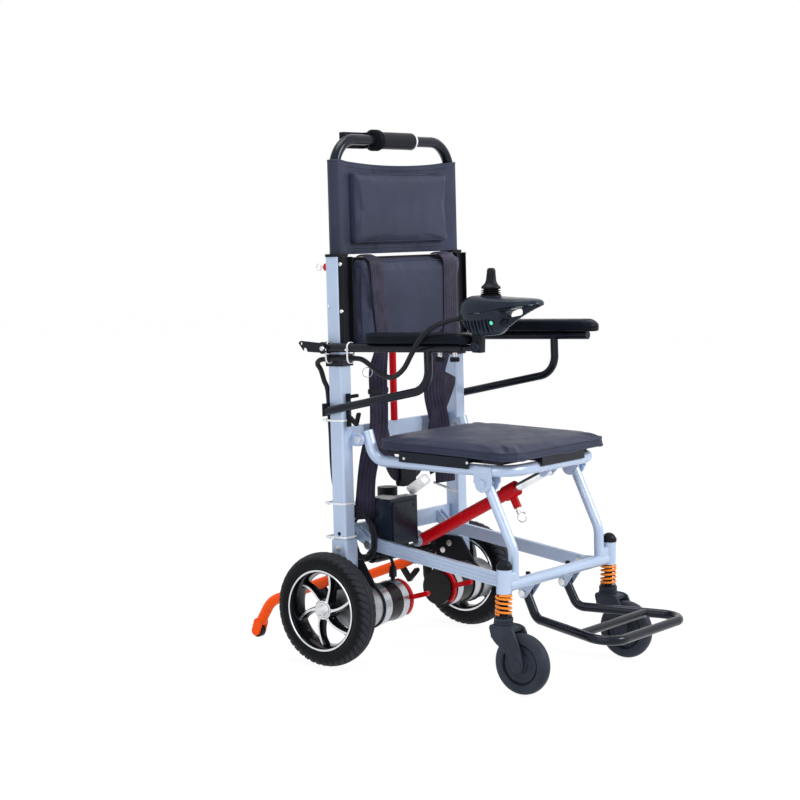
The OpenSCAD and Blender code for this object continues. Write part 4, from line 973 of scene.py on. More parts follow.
class CHAIR_OT_head_rest(Build, bpy.types.Operator):
    """Sleeve stretched over the push handle's two tubes and the boxed pad sewn on its front"""

    bl_idname = "chair.head_rest"
    bl_label = "Head rest"
    low, high, dip = 894.0, 1095.0, 11.0
    half = ((0, -3), (60, -3.2), (120, -4), (165, -6), (190, -10), (202, -13.8), (213, -14.6), (220.6, -10.8),
            (225.3, 0), (220.6, 10.8), (213, 14.6), (202, 13.4), (190, 8), (165, 3), (120, 1.2), (60, 1.4),
            (0, 1.5))

    def make(self, context):
        sling = self.sleeve()
        pad, front, rear = stuffed(
            "head_pad_cover", lambda p: back(np.stack([p[..., 0], -14.2 - p[..., 2], 992 + p[..., 1]], -1)),
            (346, 156, 19), 8, 3, 4, "handle", 1.5)
        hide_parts("head_pad")
        welt("head_pad_piping", pad, (front, rear), self.sizes.piping * 0.7, "handle", (0, 1, 0))
        self.hems()
        self.seams()

    def outline(self, n=240):
        """Closed line of the sleeve seen from above: round each tube, nearly flat between them."""
        return closed_line(mirrored(self.half), 12, n)

    def height(self, x):
        """Top edge, which dips between the tubes."""
        return self.high - self.dip * np.clip(1 - (x / POST_X) ** 2, 0, 1)

    def surface(self, x, y, s):
        """Sleeve point at share s of the height, with soft upright folds beside the tubes and slanting
        pulls from the corners: small sines that die away towards the tubes."""
        z = self.low + s * (self.height(x) - self.low)
        flat = np.clip(1 - (abs(x) / 205) ** 8, 0, 1)
        fold = 1.6 * np.sin(x / 11.0 + 1.3 * s) * np.exp(-((abs(x) - 176) / 20) ** 2)
        pull = 0.9 * np.sin((x + 1.6 * z) / 31.0) * (2 * s - 1) ** 2
        return back(np.stack(np.broadcast_arrays(x, y - flat * (fold + pull), z), -1))

    def sleeve(self):
        x, y = self.outline().T
        p = self.surface(x[None], y[None], np.linspace(0, 1, 41)[:, None])
        skin = Skin("leatherette").grid(p, (False, True))
        obj = skin.build("head_sling_sleeve", "handle", "leatherette", 60)
        wall = obj.modifiers.new("wall", "SOLIDIFY")
        wall.thickness, wall.offset = 0.0014, 1.0
        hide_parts("head_sling")
        return obj

    def hems(self):
        """Turned hem at both edges: a flat roll swept round the sleeve."""
        x, y = self.outline().T
        skin = Skin("leatherette")
        for s in (0.004, 0.996):
            skin.hoop(sweep(self.surface(x, y, s), ring(1, 12) * (0.0021, 0.0026), UP, True))
        return skin.build("head_sling_hems", "handle", "leatherette", 60)

    def seams(self):
        """Sewn rows inside the hems and short upright seams above and below the pad."""
        skin = Skin("thread")
        x = np.linspace(-190, 190, 120)
        line = self.outline(480)
        front = line[line[:, 1] < 0]
        front = front[np.argsort(front[:, 0])]
        y = np.interp(x, front[:, 0], front[:, 1]) - 1.7
        for s in (0.05, 0.95):
            stitches(skin, self.surface(x, y, s), UP)
        for at in (-85.0, -77.0, 77.0, 85.0):
            for low, high in ((0.03, 0.11), (0.89, 0.97)):
                s = np.linspace(low, high, 12)
                stitches(skin, self.surface(at, np.interp(at, x, y), s), (1, 0, 0))
        return skin.build("head_sling_stitches", "handle", "leatherette", 60)


class CHAIR_OT_back_pad(Build, bpy.types.Operator):
    """Boxed pad on the back board"""

    bl_idname = "chair.back_pad"
    bl_label = "Back pad"

    def make(self, context):
        pad, front, rear = stuffed(
            "back_pad_cover", lambda p: back(np.stack([p[..., 0], -33 - p[..., 2], 787 + p[..., 1]], -1)),
            (372, 190, 25), 16, 4, 7, "chassis")
        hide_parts("back_pad")
        welt("back_pad_piping", pad, (front, rear), self.sizes.piping, "chassis", (0, 1, 0))


class CHAIR_OT_seat_cushion(Build, bpy.types.Operator):
    """Boxed cushion on the seat board"""

    bl_idname = "chair.seat_cushion"
    bl_label = "Seat cushion"

    def make(self, context):
        cushion, upper, lower = stuffed(
            "seat_cushion_cover", lambda p: axle(p + (0, -248, 485.6)), (398, 370, 21), 48, 8, 6, "seat", 2.0)
        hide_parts("seat_cushion")
        welt("seat_cushion_piping", cushion, (upper, lower), self.sizes.piping, "seat", UP)


# Width in metres, turn in degrees and route of each belt
BELTS = {
    "belt_near": (0.044, 30, (
        (-147, -17, 887.4), (-147, -31, 890), (-147, -44, 879), (-145, -50, 850), (-138, -54.5, 780),
        (-127, -51, 705), (-120, -41, 672), (-113, -27, 630), (-105, -21.5, 560), (-108, -20, 500),
        (-127, -15, 455), (-141, -10, 400), (-145, -9, 345), (-144, -5, 316), (-140, 1, 309),
        (-135, 7, 318), (-127, 8, 350), (-119, 7, 400), (-110, 6, 440), (-100, 4, 470))),
    "belt_far": (0.054, 20, (
        (131, -17, 887.4), (131, -31, 890), (131, -44, 879), (130, -51, 850), (128, -54.5, 780),
        (126, -51, 705), (122, -40, 672), (110, -25, 630), (103, -20, 575), (118, -20, 520),
        (128, -21, 470), (132, -23, 430), (134, -25, 388), (135, -25, 360))),
    "belt_cross": (0.044, 10, (
        (172, -14, 608), (160, -20, 590), (140, -22, 560), (120, -20, 526), (112, -16, 490),
        (112, -12, 455), (120, -8, 410), (128, -6, 385))),
    "lap_belt": (0.038, 0, (
        (-74, -4, 500), (-58, -5, 450), (-30, -5, 402), (10, -5, 395), (50, -5, 400), (76, -4, 430),
        (84, -3, 480))),
}


class CHAIR_OT_harness(Build, bpy.types.Operator):
    """Shoulder belts over the back and the lap belt below them"""

    bl_idname = "chair.harness"
    bl_label = "Harness"
    stand_off, pad_top = 0.0024, 0.885

    def make(self, context):
        for name, (width, turn, points) in BELTS.items():
            self.strap(name, points, width, turn)

    def on_pad(self, path, width):
        """Route moved forward where the pad's cover, within half a width of it, stands before it."""
        cover = points_of(bpy.data.objects["back_pad_cover"].data)
        near = np.abs(cover[None, :, 0] - path[:, None, 0]) < width / 2 + 0.003
        near &= np.abs(cover[None, :, 2] - path[:, None, 2]) < 0.012
        front = np.where(near, cover[None, :, 1], 1.0).min(1) - self.stand_off
        y = np.where(path[:, 2] < self.pad_top, np.minimum(path[:, 1], front), path[:, 1])
        wide = np.pad(y, 4, "edge")
        y = np.mean([wide[k:k + len(y)] for k in range(9)], 0)
        return np.stack([path[:, 0], np.minimum(path[:, 1], y), path[:, 2]], -1)

    def strap(self, name, points, width, turn):
        """Flat section with rounded edges, slightly cupped, carried along the belt's route, which turns
        about the upright by the angle in degrees between 700 and 630 mm up; its UV is metres along and
        across. Where it passes the back pad it lies on the pad's cover. The lap belt lies on edge."""
        path = self.on_pad(back(curve(points, 10)), width)
        a = math.radians(turn) * smooth((0.7 - path[:, 2]) / 0.07)
        across = np.stack([np.cos(a), -np.sin(a), np.zeros_like(a)], -1) if turn else UP
        v = np.linspace(-1, 1, 15)
        thick = 0.00105 * (1 - v**8) + 0.00012
        run = along(path)
        cup = 0.0009 * np.sin(run / 0.09 + 0.7)[:, None] * (v**2 - 0.4)
        over = np.broadcast_to(v * width / 2, cup.shape)
        face, rear = (np.stack([cup + side, over], -1) for side in (thick, -thick))
        p = sweep(path, np.concatenate([face, rear[:, ::-1]], 1), across)
        uv = (run, np.concatenate([v, v[::-1], v[:1]]) * width / 2)
        belt = Skin("webbing").tube(p, uv=uv).build(name, "chassis", "webbing", 50)
        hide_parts("harness")


class CHAIR_OT_arm_pads(Build, bpy.types.Operator):
    """Moulded pads on the two armrests"""

    bl_idname = "chair.arm_pads"
    bl_label = "Arm pads"
    rings = ((14, 0), (5, 0), (2.4, 0.7), (0.6, 3), (0.1, 6), (0.9, 6.7), (0.9, 7.2), (0, 7.9), (0, 12),
             (0.6, 15.2), (2.4, 18), (6, 20.2), (11, 21), (18, 21.4), (24.5, 21.5))
    width, length, corner = 54, 275, 26.6
    rear, foot = -112, 10

    def make(self, context):
        for side, sign in SIDES:
            skin = Skin("pad_skin").tube(arm(self.shape(sign), sign))
            obj = skin.build(f"arm_pad_{side}_cover", f"arm_{side}", "leatherette", 50)
            subdivide(obj)
            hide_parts(f"arm_pad_{side}")

    def shape(self, sign):
        """Rings of a round-ended plan from the underside to the crown: (inset, height) in mm; a fine
        groove runs round at the mould's parting and the nose falls over its last 34 mm. The left pad is
        the thicker one and falls further."""
        p = np.stack([
            lift(rounded(self.width - 2 * i, self.length - 2 * i, self.corner - i, 12), z)
            for i, z in self.rings])
        p = p + (0, self.rear - self.length / 2, self.foot)
        p[..., 2] = self.foot + (p[..., 2] - self.foot) * (1.04 if sign < 0 else 1.28)
        nose = smooth((-353 - p[..., 1]) / 34)
        share = 0.35 + (p[..., 2] - self.foot) / 32
        p[..., 2] -= 3 * nose if sign < 0 else 7 * nose * share
        return p


class CHAIR_OT_joystick(Build, bpy.types.Operator):
    """Drive controller on the right armrest: two shells, bracket, lamp and the stick in its bellows"""

    bl_idname = "chair.joystick"
    bl_label = "Joystick"
    x, y, pivot_z = -250.0, -408.0, 815
    top = ((-530, 809), (-526, 815), (-518, 818.5), (-500, 820), (-450, 820.5), (-400, 821.5), (-372, 820.5),
           (-357, 814), (-347, 802), (-343, 790))
    part = ((-530, 807), (-518, 808), (-479, 803.5), (-414, 790), (-362, 783), (-343, 785))
    low = ((-530, 806), (-524, 803), (-505, 794), (-479, 779), (-451, 759), (-436, 748), (-425, 742.5),
           (-390, 740), (-370, 743), (-356, 751), (-346, 766), (-343, 782))
    wide = ((-530, 5), (-525, 17), (-512, 27), (-490, 34.5), (-460, 39), (-420, 40), (-385, 38), (-362, 33),
            (-349, 25), (-343, 12))
    knob = ((4, 0.1), (4, 5), (21, 5), (21, 17.4), (21.6, 19.4), (22.8, 20), (24.4, 19.7), (26.4, 17.6),
            (29, 14.8), (32, 12.6), (36, 11), (42, 10.1), (50, 9.3), (56, 8.9), (59.6, 8.2), (61.6, 6.6),
            (62.6, 4), (62.8, 0.1))
    collar = ((817, 13), (817, 22), (821, 22), (823, 20.6), (824.4, 18.8), (825, 16.5), (824, 13.4))
    boss = ((0, 0.1), (0, 10.4), (4.4, 10.4), (5.4, 9.4), (5.4, 7), (3.6, 6.4), (3.6, 3.6), (5, 3.2),
            (5, 0.1))
    lamp = ((-1, 3.9), (0.9, 3.9), (1.1, 3.1), (1.7, 2.4), (2.2, 1.2), (2.3, 0.1))
    bezel = ((-1, 4.0), (0.8, 4.0), (1.6, 4.6), (1.4, 5.6), (-1, 6.2))

    def make(self, context):
        housing = self.shells()
        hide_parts("joystick_housing")
        self.details()
        self.bellows()
        stick = self.turned_up("joystick_knob", "stick", self.knob)
        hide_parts("joystick_stick")

    def half_section(self, y, bend, up):
        """Upper or lower half of the housing at stations y: x = w cos^p, z from the parting line towards
        the top or the underside by sin^q; the lower half narrows towards its keel, to a ribbed fin under
        the nose, and carries vents behind."""
        lines = self.wide, self.part, self.top, self.low
        w, part, top, keel = (trace(line, y)[:, None] for line in lines)
        if up:
            rise = top - part - 0.5
            return w * power(np.cos(bend), 0.6), part + 0.5 + rise * power(np.sin(bend), 0.62)
        deep = power(np.sin(bend), 0.75)
        vents = pulse(y / 9.0, 0.5, 0.08) * smooth((y + 430) / 4) * smooth((-356 - y) / 4)
        band = smooth((deep - 0.3) / 0.05) * smooth((0.97 - deep) / 0.03)
        fin = smooth((-434 - y) / 18)[:, None]
        lean_in = 0.34 * deep * (1 - fin) + 0.84 * smooth(deep / 0.3) * fin
        ribs = pulse(y / 7.5, 0.5, 0.1) * smooth((y + 512) / 5) * smooth((-440 - y) / 5)
        x = ((w - 1.3) * (1 - lean_in) - 6.0 * vents[:, None] * band) * power(np.cos(bend), 0.5)
        x = x + 4.0 * ribs[:, None] * smooth((deep - 0.82) / 0.05) * power(np.cos(bend), 0.5)
        return x, part - 0.5 - (part - 0.5 - keel) * deep

    def side_x(self, y, z):
        """Half width of the lower shell at a height: its section solved for the bend that gives z."""
        bend = np.linspace(0, TAU / 4, 200)
        x, height = self.half_section(np.array([y]), bend, False)
        return np.interp(-z, -height[0], x[0])

    def shells(self):
        """Both halves over stations that crowd towards the nose and the rear."""
        y = -436.5 + 93.4 * np.cos(np.linspace(0, math.pi, 181))
        bend = np.linspace(0, math.pi, 49)
        shell = Skin("shell_gloss", "shell_matt")
        for finish, up in enumerate((True, False)):
            x, z = self.half_section(y, bend, up)
            p = np.stack(np.broadcast_arrays(self.x + x, y[:, None], z), -1)
            shell.tube(axle(p), finish)
        housing = shell.build("joystick_shells", "arm_right", "black_plastic", 32)
        self.cut_eye(housing)
        return housing

    def cut_eye(self, housing):
        """See-through oval near the nose: a round-ended bar taken out of the lower shell."""
        turn = math.radians(-12)
        c, s = math.cos(turn), math.sin(turn)
        oval = rounded(38, 15, 7.4, 8) @ np.array(((c, s), (-s, c))) + (-470, 790)
        p = np.stack([lift(oval, self.x + x, 0) for x in (-60.0, 60.0)])
        cutter = Skin("black_plastic").tube(axle(p)).build("eye_cutter", None)
        cut = housing.modifiers.new("eye", "BOOLEAN")
        cut.operation, cut.object, cut.solver = "DIFFERENCE", cutter, "EXACT"
        bake(housing)
        bpy.data.objects.remove(cutter)
        settle(housing, "arm_right", 32)

    def details(self):
        """Collar of the bellows, clamp bracket with its boss, lamp and slot."""
        skin = Skin("black_plastic", "status_lamp", "shell_gloss")
        skin.hoop(axle(onto(turned(self.collar, 48), (self.x, self.y, 0), UP)))
        block = stacked(rounded(22, 21, 3.5, 5), ((704, 0.9), (705.2, 1), (771, 1), (776, 1)))
        skin.tube(axle(block + (-244, self.y + 32.5, 0)))
        skin.tube(axle(onto(turned(self.boss, 36), (-255, self.y + 34, 716), (-1, 0, 0))), 2)
        y, z = -431.0, 769.0
        spot = (self.x - self.side_x(y, z), y, z)
        outward = (-1, 0, -0.25)
        skin.tube(axle(onto(turned(self.lamp, 24), spot, outward)), 1)
        skin.hoop(axle(onto(turned(self.bezel, 24), spot, outward)), 2)
        y, z = -446.0, 769.5
        rim = ((-1.5, 1), (0.6, 1), (0.9, 0.9), (0.2, 0.72), (-0.6, 0.6))
        slot = stacked(rounded(17, 8, 3, 6), rim, 0)
        slot = slot @ np.array([[1, 0, 0], [0, 0.82, 0.57], [0, -0.57, 0.82]])
        spot = (self.x - self.side_x(y, z) - 2, y - 1.8, z)
        skin.tube(axle(onto(slot, spot, (-0.75, -0.65, -0.3))))
        return skin.build("joystick_fittings", "arm_right", "black_plastic", 35)

    def turned_up(self, name, body, profile):
        """Turned piece about the stick's own axis, its heights from the pivot."""
        p = onto(turned(profile, 48), (self.x, self.y, self.pivot_z), UP)
        return Skin("black_plastic").tube(axle(p)).build(name, body, "black_plastic", 40)

    def bellows(self):
        """Rubber gaiter between housing and stick: three folds of r = 17 + 3 cos, wider below."""
        s = np.linspace(0, 1, 65)
        r = 17.0 + 3.0 * np.cos(s * 3 * TAU) + 1.8 * (1 - s)
        profile = [(9.8, 4.5), *np.stack([9.8 + 11.4 * s, r], -1).tolist(), (21.2, 5.2)]
        gaiter = self.turned_up("joystick_gaiter", None, profile)
        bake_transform(gaiter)


class CHAIR_OT_rear_wheels(Build, bpy.types.Operator):
    """Rear tyres with their tread and the rims with swept spokes"""

    bl_idname = "chair.rear_wheels"
    bl_label = "Rear wheels"
    wall = ((0, 125), (6, 124.6), (12, 123.3), (17.5, 121), (21.5, 117.6), (24.3, 112.5), (25.8, 106),
            (26, 100), (25.2, 94.5), (23, 90.2), (20.6, 87.4), (15, 86), (8, 91), (0, 93))
    lip = ((20, 86.6), (22, 84.8), (25.2, 84.7), (26, 85.6), (26, 87.6), (25.2, 88.8), (23.6, 89.4),
           (21, 88.8))
    barrel = ((-24.5, 86), (24.5, 86), (25.2, 84.4), (22, 82.6), (13, 79), (-13, 78), (-22, 80.4),
              (-25.2, 82.6))
    hub = ((-20, 0.1), (-20, 20), (-18, 23), (9, 23.5), (13, 23), (14.6, 21.5), (14.6, 0.1))
    disc = ((14.2, 17.2), (15.2, 17.4), (15.4, 20.4), (14.2, 21.4))
    washer = ((14, 8), (14, 16.6), (16.2, 17), (17, 16.2), (17.2, 8))
    nut = ((17, 8), (17, 12.2), (17.8, 13), (22.8, 13), (24, 11.8), (24, 8))
    end = ((12, 0.1), (12, 8.4), (25.2, 8.4), (26, 7.6), (26, 0.1))
    valve = ((0, 0.1), (0, 3.2), (6, 3.2), (7, 2.4), (22, 2.4), (23, 3), (27, 3), (28, 2.4), (28, 0.1))
    black, bright, steel = 0, 1, 2
    spokes = 6

    def make(self, context):
        tyre, rim = self.tyre(), list(self.rim_grids())
        for side, sign in SIDES:
            skin = Skin("tyre").hoop(wheel_place(tyre, sign))
            obj = skin.build(f"tyre_{side}_tread", f"wheel_b_{side}", "tyre", 40)
            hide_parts(f"tyre_{side}")
            skin = Skin("rim", "machined", "steel")
            for p, closed, finish in rim:
                (skin.hoop if closed else skin.tube)(wheel_place(p, sign), finish)
            obj = skin.build(f"rim_{side}_spokes", f"wheel_b_{side}", "rim", 30)
            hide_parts(f"wheel_{side}")

    def tyre(self):
        """Section carried round the axle; slanted grooves cut the shoulders to the tread depth, two fine
        ones run round, and each wall has a raised rib: offset along the section's own normal."""
        line = closed_line(mirrored(self.wall), 10, 84)
        t = unit(np.roll(line, -1, 0) - np.roll(line, 1, 0))
        normal = np.stack([-t[:, 1], t[:, 0]], -1)
        middle = (0, 105)
        normal *= np.sign((normal * (line - middle)).sum(1))[:, None]
        x, r = line.T
        out = r > 96
        n = self.sizes.pitches
        u = np.arange(n * 12)[:, None] / (n * 12)
        phase = u * n + np.abs(x) * 0.055 + (x > 0) * 0.5
        shoulder = smooth((np.abs(x) - 8) / 2.5) * smooth((r - 108.5) / 2.5) * out
        grooves = pulse(phase, 0.26, 0.1) * shoulder
        rounds = np.exp(-((np.abs(x) - 6.2) / 1.1) ** 2) * (r > 118) * 0.8
        depth = self.sizes.tread * 1000 * np.maximum(grooves, rounds)
        rib = 0.7 * np.exp(-((r - 103) / 1.0) ** 2) * (np.abs(x) > 20)
        rib = rib + 0.5 * np.exp(-((r - 92.5) / 1.0) ** 2) * out
        p = line + normal * (rib - depth)[..., None]
        a = u * TAU
        return np.stack([p[..., 0], p[..., 1] * np.cos(a), p[..., 1] * np.sin(a)], -1)

    def rim_grids(self):
        """Grid, whether it closes both ways, and finish of lips, barrel, spokes, hub, disc, washer, nut,
        axle end and valve. A spoke's middle line is the circle of radius 80 through the axle: at radius
        r it stands asin(r / 160) round from its start. Its front falls back from the hub to the barrel."""
        for sign in (-1, 1):
            yield turned(np.array(self.lip) * (sign, 1), 96), True, self.bright
        yield turned(self.barrel, 96), True, self.black
        r = np.linspace(14, 81.5, 28)
        width = 3.8 + 3.4 * smooth((r - 64) / 18) + 3.0 * smooth((30 - r) / 14)
        face = 2.5 + 1.8 * smooth((32 - r) / 16)
        front = 14.4 - 8.0 * smooth((r - 20) / 58)
        half = ((width + 2.4, -9.0), (width + 0.4, front - 2.6), (face, front))
        edges = [*half, *((-x, y) for x, y in reversed(half))]
        section = np.stack([np.stack(np.broadcast_arrays(x, y), -1) for x, y in edges], 1)
        for spoke in range(self.spokes):
            a = spoke * TAU / self.spokes + math.radians(5) - np.arcsin(r / 160)
            path = np.stack([np.zeros_like(r), r * np.cos(a), r * np.sin(a)], -1)
            yield sweep(path, section, (1, 0, 0)), False, np.array([0, 0, self.bright, 0, 0, 0])
        yield turned(self.hub, 48), False, self.black
        yield turned(self.disc, 48), True, self.bright
        yield turned(self.washer, 48), True, self.steel
        yield turned(self.nut, 6), True, self.steel
        yield turned(self.end, 32), False, self.steel
        yield onto(turned(self.valve, 16), (8, 44, -66), (0.55, -0.45, 0.7)), False, self.black


class CHAIR_OT_casters(Build, bpy.types.Operator):
    """Front wheels, their forks and the springs that sit over the stems"""

    bl_idname = "chair.casters"
    bl_label = "Casters"
    half = ((15, 5.2), (15, 16), (14.4, 17.2), (13, 17.8), (9, 19.5), (8.2, 21), (8.2, 27), (9, 27.8),
            (9, 29.4), (8.2, 30.2), (8.2, 36), (9, 36.8), (9, 38.4), (4, 39), (4, 41.6), (12.6, 42.4),
            (13.4, 43.2), (14.6, 44.6), (15, 47), (14.9, 52), (13.8, 56.6), (11.4, 60), (8, 62.4),
            (4, 63.6), (0, 64))
    cheek = ((17, 141), (18, 126), (10, 110), (-8, 95), (-22, 84), (-31, 72), (-34, 60), (-40, 51.5),
             (-49, 48.5), (-58, 51.5), (-64, 60), (-63, 76), (-56, 98), (-47, 117), (-41, 130), (-35, 138),
             (-18, 141.5))
    cheek_edge = ((17.6, 1.2), (18.6, 0), (22.6, 0), (24.2, 0.8), (25.0, 2.4), (25.2, 5.0))
    cap = ((24, 0.1), (24, 12), (26.2, 12), (27, 11.2), (27, 8.6), (26.4, 8), (26.4, 6.8), (27, 6.2),
           (27.2, 0.1))
    collar = ((134, 10), (134, 21), (139, 21), (139.4, 19.4), (141.4, 19.4), (141.8, 20.6), (145.4, 20.6),
              (145.8, 18.8), (147.8, 18.8), (148.2, 20.2), (154.6, 20.2), (155.4, 19.4), (155.4, 10))
    axle_at = (0, -CASTER_TRAIL, CASTER_R)

    def make(self, context):
        for side, sign in SIDES:
            self.spring(side, sign)
            self.wheel(side, sign)
            self.fork(side, sign)

    def spring(self, side, sign):
        """Coil with close ends: height over the turns u is u * 5.1 for the end 0.75 turns and 9.357 a turn
        between; the wire's end faces are ground flat."""
        u = np.linspace(0, 5, 361)
        z = np.interp(u, (0, 0.75, 4.25, 5), (0, 3.825, 36.575, 40.4))
        path = np.stack([15.8 * np.cos(TAU * u), 15.8 * np.sin(TAU * u), 162.3 + z], -1)
        skin = Skin("spring_orange").tube(stem(sweep(path, ring(2.5, 14), UP), sign))
        spring = skin.build(f"caster_{side}_coil", "front", "spring_orange", 50)
        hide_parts(f"caster_spring_{side}")
        stem((0, 0, 205), sign)
        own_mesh(spring)

    def wheel(self, side, sign):
        """Solid tyre on a ringed hub, turned about its axle."""
        whole = [*self.half, *((-a, r) for a, r in self.half[-2::-1])]
        skin = Skin("caster_rubber").hoop(stem(turned(whole, 112) + self.axle_at, sign))
        obj = skin.build(f"caster_{side}_tyre", f"caster_{side}", "caster_rubber", 28)
        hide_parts(f"caster_wheel_{side}")

    def fork(self, side, sign):
        """Two cheeks of one closed outline, their edges rounded over three rings, broad below the collar,
        waisted behind the wheel and round about the axle; on each a raised oval and the axle's cap. The
        crown joins them over the wheel."""
        skin = Skin("caster_rubber")
        line = closed_line(self.cheek, 8, 120)
        inward = unit(line - (-26.0, 98.0))
        oval = rounded(38, 13, 6.4, 10) @ np.array([[-0.37, -0.93], [0.93, -0.37]]) + (-25, 100)
        for out in (-1, 1):
            rows = [lift(line - inset * inward, out * x, 0) for x, inset in self.cheek_edge]
            skin.tube(stem(np.stack(rows), sign))
            path = dense(lift(oval, out * 25.0, 0), 90)
            skin.hoop(stem(sweep(path, ring(1, 8) * (1.3, 1.0), (1, 0, 0), True), sign))
            skin.tube(stem(turned(self.cap, 40) * (out, 1, 1) + self.axle_at, sign))
        self.crown(skin, sign)
        obj = skin.build(f"caster_{side}_fork_shell", f"fork_{side}", "caster_rubber", 35)
        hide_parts(f"caster_fork_{side}")

    def crown(self, skin, sign):
        """Bridge over the wheel: at each forward place y it spans the cheeks from the wheel arch of radius
        67.6 to its blunt top; above it a collar of three rings."""
        y = np.linspace(17, -34, 32)[:, None]
        arch = CASTER_R + np.sqrt(np.maximum(67.6**2 - (y + CASTER_TRAIL) ** 2, 0))
        arch = np.maximum(arch, 112.0)
        top = 141.5 - 3.5 * smooth((-10 - y) / 24)
        across, high = rounded(2, 2, 0.3, 5).T
        z = (top + arch) / 2 + (top - arch) / 2 * high
        skin.tube(stem(np.stack(np.broadcast_arrays(across * 22.0, y, z), -1), sign))
        skin.hoop(stem(onto(turned(self.collar, 56), (0, 0, 0), UP), sign))


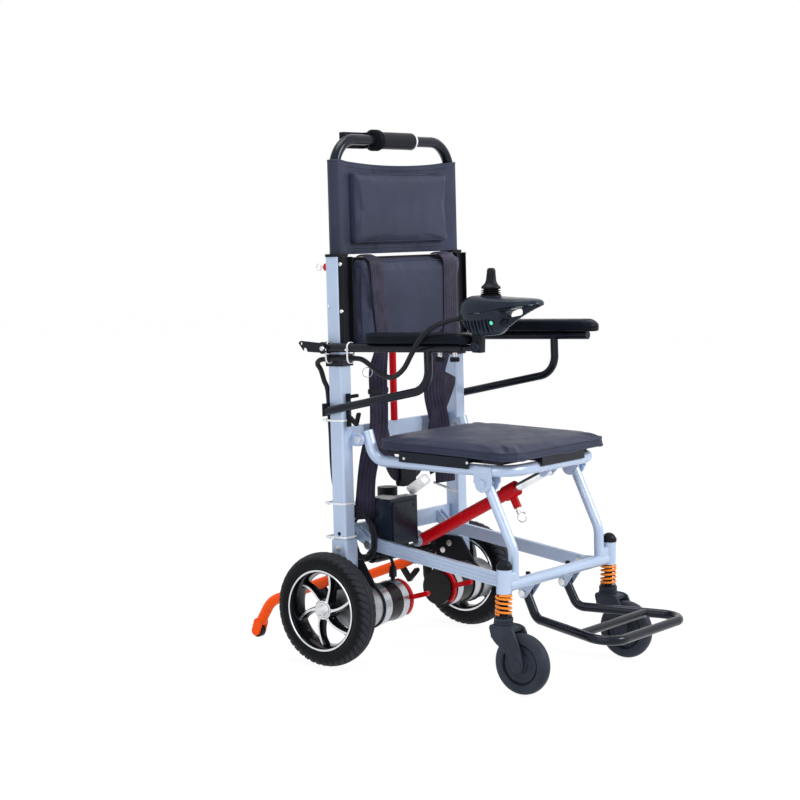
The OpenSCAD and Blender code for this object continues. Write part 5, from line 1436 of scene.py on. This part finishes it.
class CHAIR_OT_trim(Build, bpy.types.Operator):
    """Cable ties, screw heads, grip ridges, thumb screws and belt tongues"""

    bl_idname = "chair.trim"
    bl_label = "Trim"
    head = ((-0.5, 4.6), (0.8, 4.6), (2.2, 3.9), (2.8, 2.7), (2.8, 2.2), (1.2, 2.1), (1.2, 0.1))
    flutes = ((-28.6, 6.4, 0), (-28.6, 8.6, 0.3), (-27.6, 9.4, 0.6), (-20.4, 9.4, 0.6), (-19.4, 8.6, 0.3),
              (-19.4, 4, 0))

    def make(self, context):
        self.post_ties()
        self.arm_ties()
        self.screws()
        self.grip()
        self.thumb_screws()
        self.tongues()

    @staticmethod
    def tie(skin, place, outline, at, head):
        """Nylon tie: a flat band swept round an outline, with its square head."""
        up = np.diff(place(np.array([(0, 0, 0.0), UP])), axis=0)[0]
        skin.hoop(sweep(place(lift(outline, 0) + at), rounded(1.3, 4.2, 0.5, 3) / 1000, up, True))
        cube = stacked(rounded(6.4, 4.6, 0.8, 3), ((-2.9, 0.85), (-2.3, 1), (2.3, 1), (2.9, 0.85)))
        skin.tube(place(cube + np.asarray(at) + (*head, 0)))

    def post_ties(self):
        skin = Skin("white_nylon")
        for z in (534, 352, 278):
            self.tie(skin, back, rounded(39.4, 57, 5, 6) + (0, 9.3), (-POST_X, 0, z), (-21.6, 24))
        skin.build("post_cable_ties", "chassis", "cable", 40)

    def arm_ties(self):
        """Ties in planes across the right armrest's tube: their up is the tube's own way."""
        skin = Skin("white_nylon")
        for y in (-67.0, -8.0):
            loop = rounded(23.4, 45.5, 11.4, 10) + (0, -11)
            self.tie(skin, lambda p: arm(p[..., [0, 2, 1]], -1), loop, (0, 0, y), (13, -4))
        skin.build("arm_cable_ties", "arm_right", "cable", 40)

    def screws(self):
        """Button heads with a hex socket on the black channels, the near post's bright stop screw and
        the screws of the seat's edge strips."""
        head = turned(self.head, 24)
        skin = Skin("steel")
        channel_y, stop_y = -24.5, 11.7
        for side, y, z in ((-1, channel_y, 872), (-1, channel_y, 771), (1, channel_y, 872),
                           (1, channel_y, 771), (-1, stop_y, 781)):
            skin.tube(back(onto(head, (side * (POST_X + POST_HALF), y, z), (side, 0, 0))))
        skin.tube(axle(onto(head * 1.25, (-263.4, 19.5, 691.5), (-1, 0, 0))))
        skin.build("post_screws", "chassis", "steel", 35)
        skin = Skin("steel")
        for y, z in ((-152, 461), (-316.5, 466.3)):
            skin.tube(axle(onto(head * 0.75, (-196, y, z), (-1, 0, 0))))
        skin.build("seat_strip_screws", "seat", "steel", 35)

    def grip(self):
        """Ridges round the grip's collar and the pale ring at its far end."""
        skin = Skin("black_plastic", "white_nylon")
        s = np.linspace(0, 1, 49)
        collar = np.stack([-75 + 16 * s, 22.6 + 1.1 * np.cos(s * 5 * TAU)], -1)
        collar = np.concatenate([[(-75, 15)], collar, [(-59, 15)]])
        pale = ((64, 12.2), (64, 19.2), (65.4, 20), (68, 20), (69, 19), (69, 12.2))
        for finish, profile in enumerate((collar, pale)):
            skin.hoop(back(turned(profile, 56) + (0, 0, GRIP_Z)), finish)
        skin.build("grip_rings", "handle", "black_plastic", 35)

    def thumb_screws(self):
        """Fluted heads on the joystick bracket's two clamp screws, r = 9.4 + 0.6 cos 18 a, and their studs."""
        skin = Skin("black_plastic", "steel")
        a = np.arange(108) / 108 * TAU
        z, r, flute = np.array(self.flutes).T[..., None]
        wave = r + flute * np.cos(18 * a)
        s = np.linspace(0, 1, 41)
        stud = turned(np.stack([-20 + 10.5 * s, 5.0 + 0.5 * np.cos(s * 6 * TAU)], -1), 24)
        for y in (-302, -340):
            p = np.stack(np.broadcast_arrays(wave * np.cos(a), y + wave * np.sin(a), z), -1)
            skin.tube(arm(p, -1))
            skin.tube(arm(onto(stud, (0, y, 0), UP), -1), 1)
        skin.build("thumb_screws", "arm_right", "black_plastic", 30)

    def tongues(self):
        """Bright latch plate before the lap belt's buckle and the bar at the far belt's end, both upright
        and seen full face."""
        skin = Skin("steel")
        up = np.array((0, 0, 1.0))
        plate, slot, h = rounded(56, 24, 5, 5), rounded(13, 15, 3, 5) + (17, 0), 1.2
        tilt = 0.66
        c, s = math.cos(tilt), math.sin(tilt)
        rows = [
            (q[:, :1] * c - q[:, 1:] * s) * FACE_LEVEL + (q[:, :1] * s + q[:, 1:] * c) * up + FACE_OUT * k
            for q, k in ((slot, -h), (plate, -h), (plate, h), (slot, h))]
        skin.hoop(axle(np.stack(rows) + (18, -34, 369)))
        bar = turned(((-31, 0.1), (-31, 2.2), (-30, 3), (30, 3), (31, 2.2), (31, 0.1)), 24)
        skin.tube(axle(onto(bar, (133, -27, 349), unit(0.93 * FACE_LEVEL - 0.36 * up))))
        skin.build("belt_tongues", "chassis", "steel", 35)


OPERATORS = (
    CHAIR_OT_stage, CHAIR_OT_finishes, CHAIR_OT_cables, CHAIR_OT_head_rest, CHAIR_OT_back_pad,
    CHAIR_OT_seat_cushion, CHAIR_OT_harness, CHAIR_OT_arm_pads, CHAIR_OT_joystick, CHAIR_OT_rear_wheels,
    CHAIR_OT_casters, CHAIR_OT_trim,
)


class CHAIR_PT_sidebar(bpy.types.Panel):
    """Sizes, colours and pieces of the chair"""

    bl_label = "Stair climbing wheelchair"
    bl_idname = "CHAIR_PT_sidebar"
    bl_space_type = "VIEW_3D"
    bl_region_type = "UI"
    bl_category = "Chair"

    def draw(self, context):
        for group in (context.scene.chair_colours, context.scene.chair_sizes):
            box = self.layout.box()
            for name in group.__annotations__:
                box.prop(group, name)
        column = self.layout.column(align=True)
        for operator in OPERATORS:
            column.operator(operator.bl_idname)


CLASSES = (ChairColours, ChairSizes, *OPERATORS, CHAIR_PT_sidebar)


def register():
    for cls in CLASSES:
        bpy.utils.register_class(cls)
    bpy.types.Scene.chair_colours = PointerProperty(type=ChairColours)
    bpy.types.Scene.chair_sizes = PointerProperty(type=ChairSizes)


def unregister():
    del bpy.types.Scene.chair_sizes
    del bpy.types.Scene.chair_colours
    for cls in reversed(CLASSES):
        bpy.utils.unregister_class(cls)


def main():
    """Registers the add-on and makes every piece in order."""
    register()
    for operator in OPERATORS:
        group, name = operator.bl_idname.split(".")
        getattr(getattr(bpy.ops, group), name)()


if __name__ == "__main__":
    main()
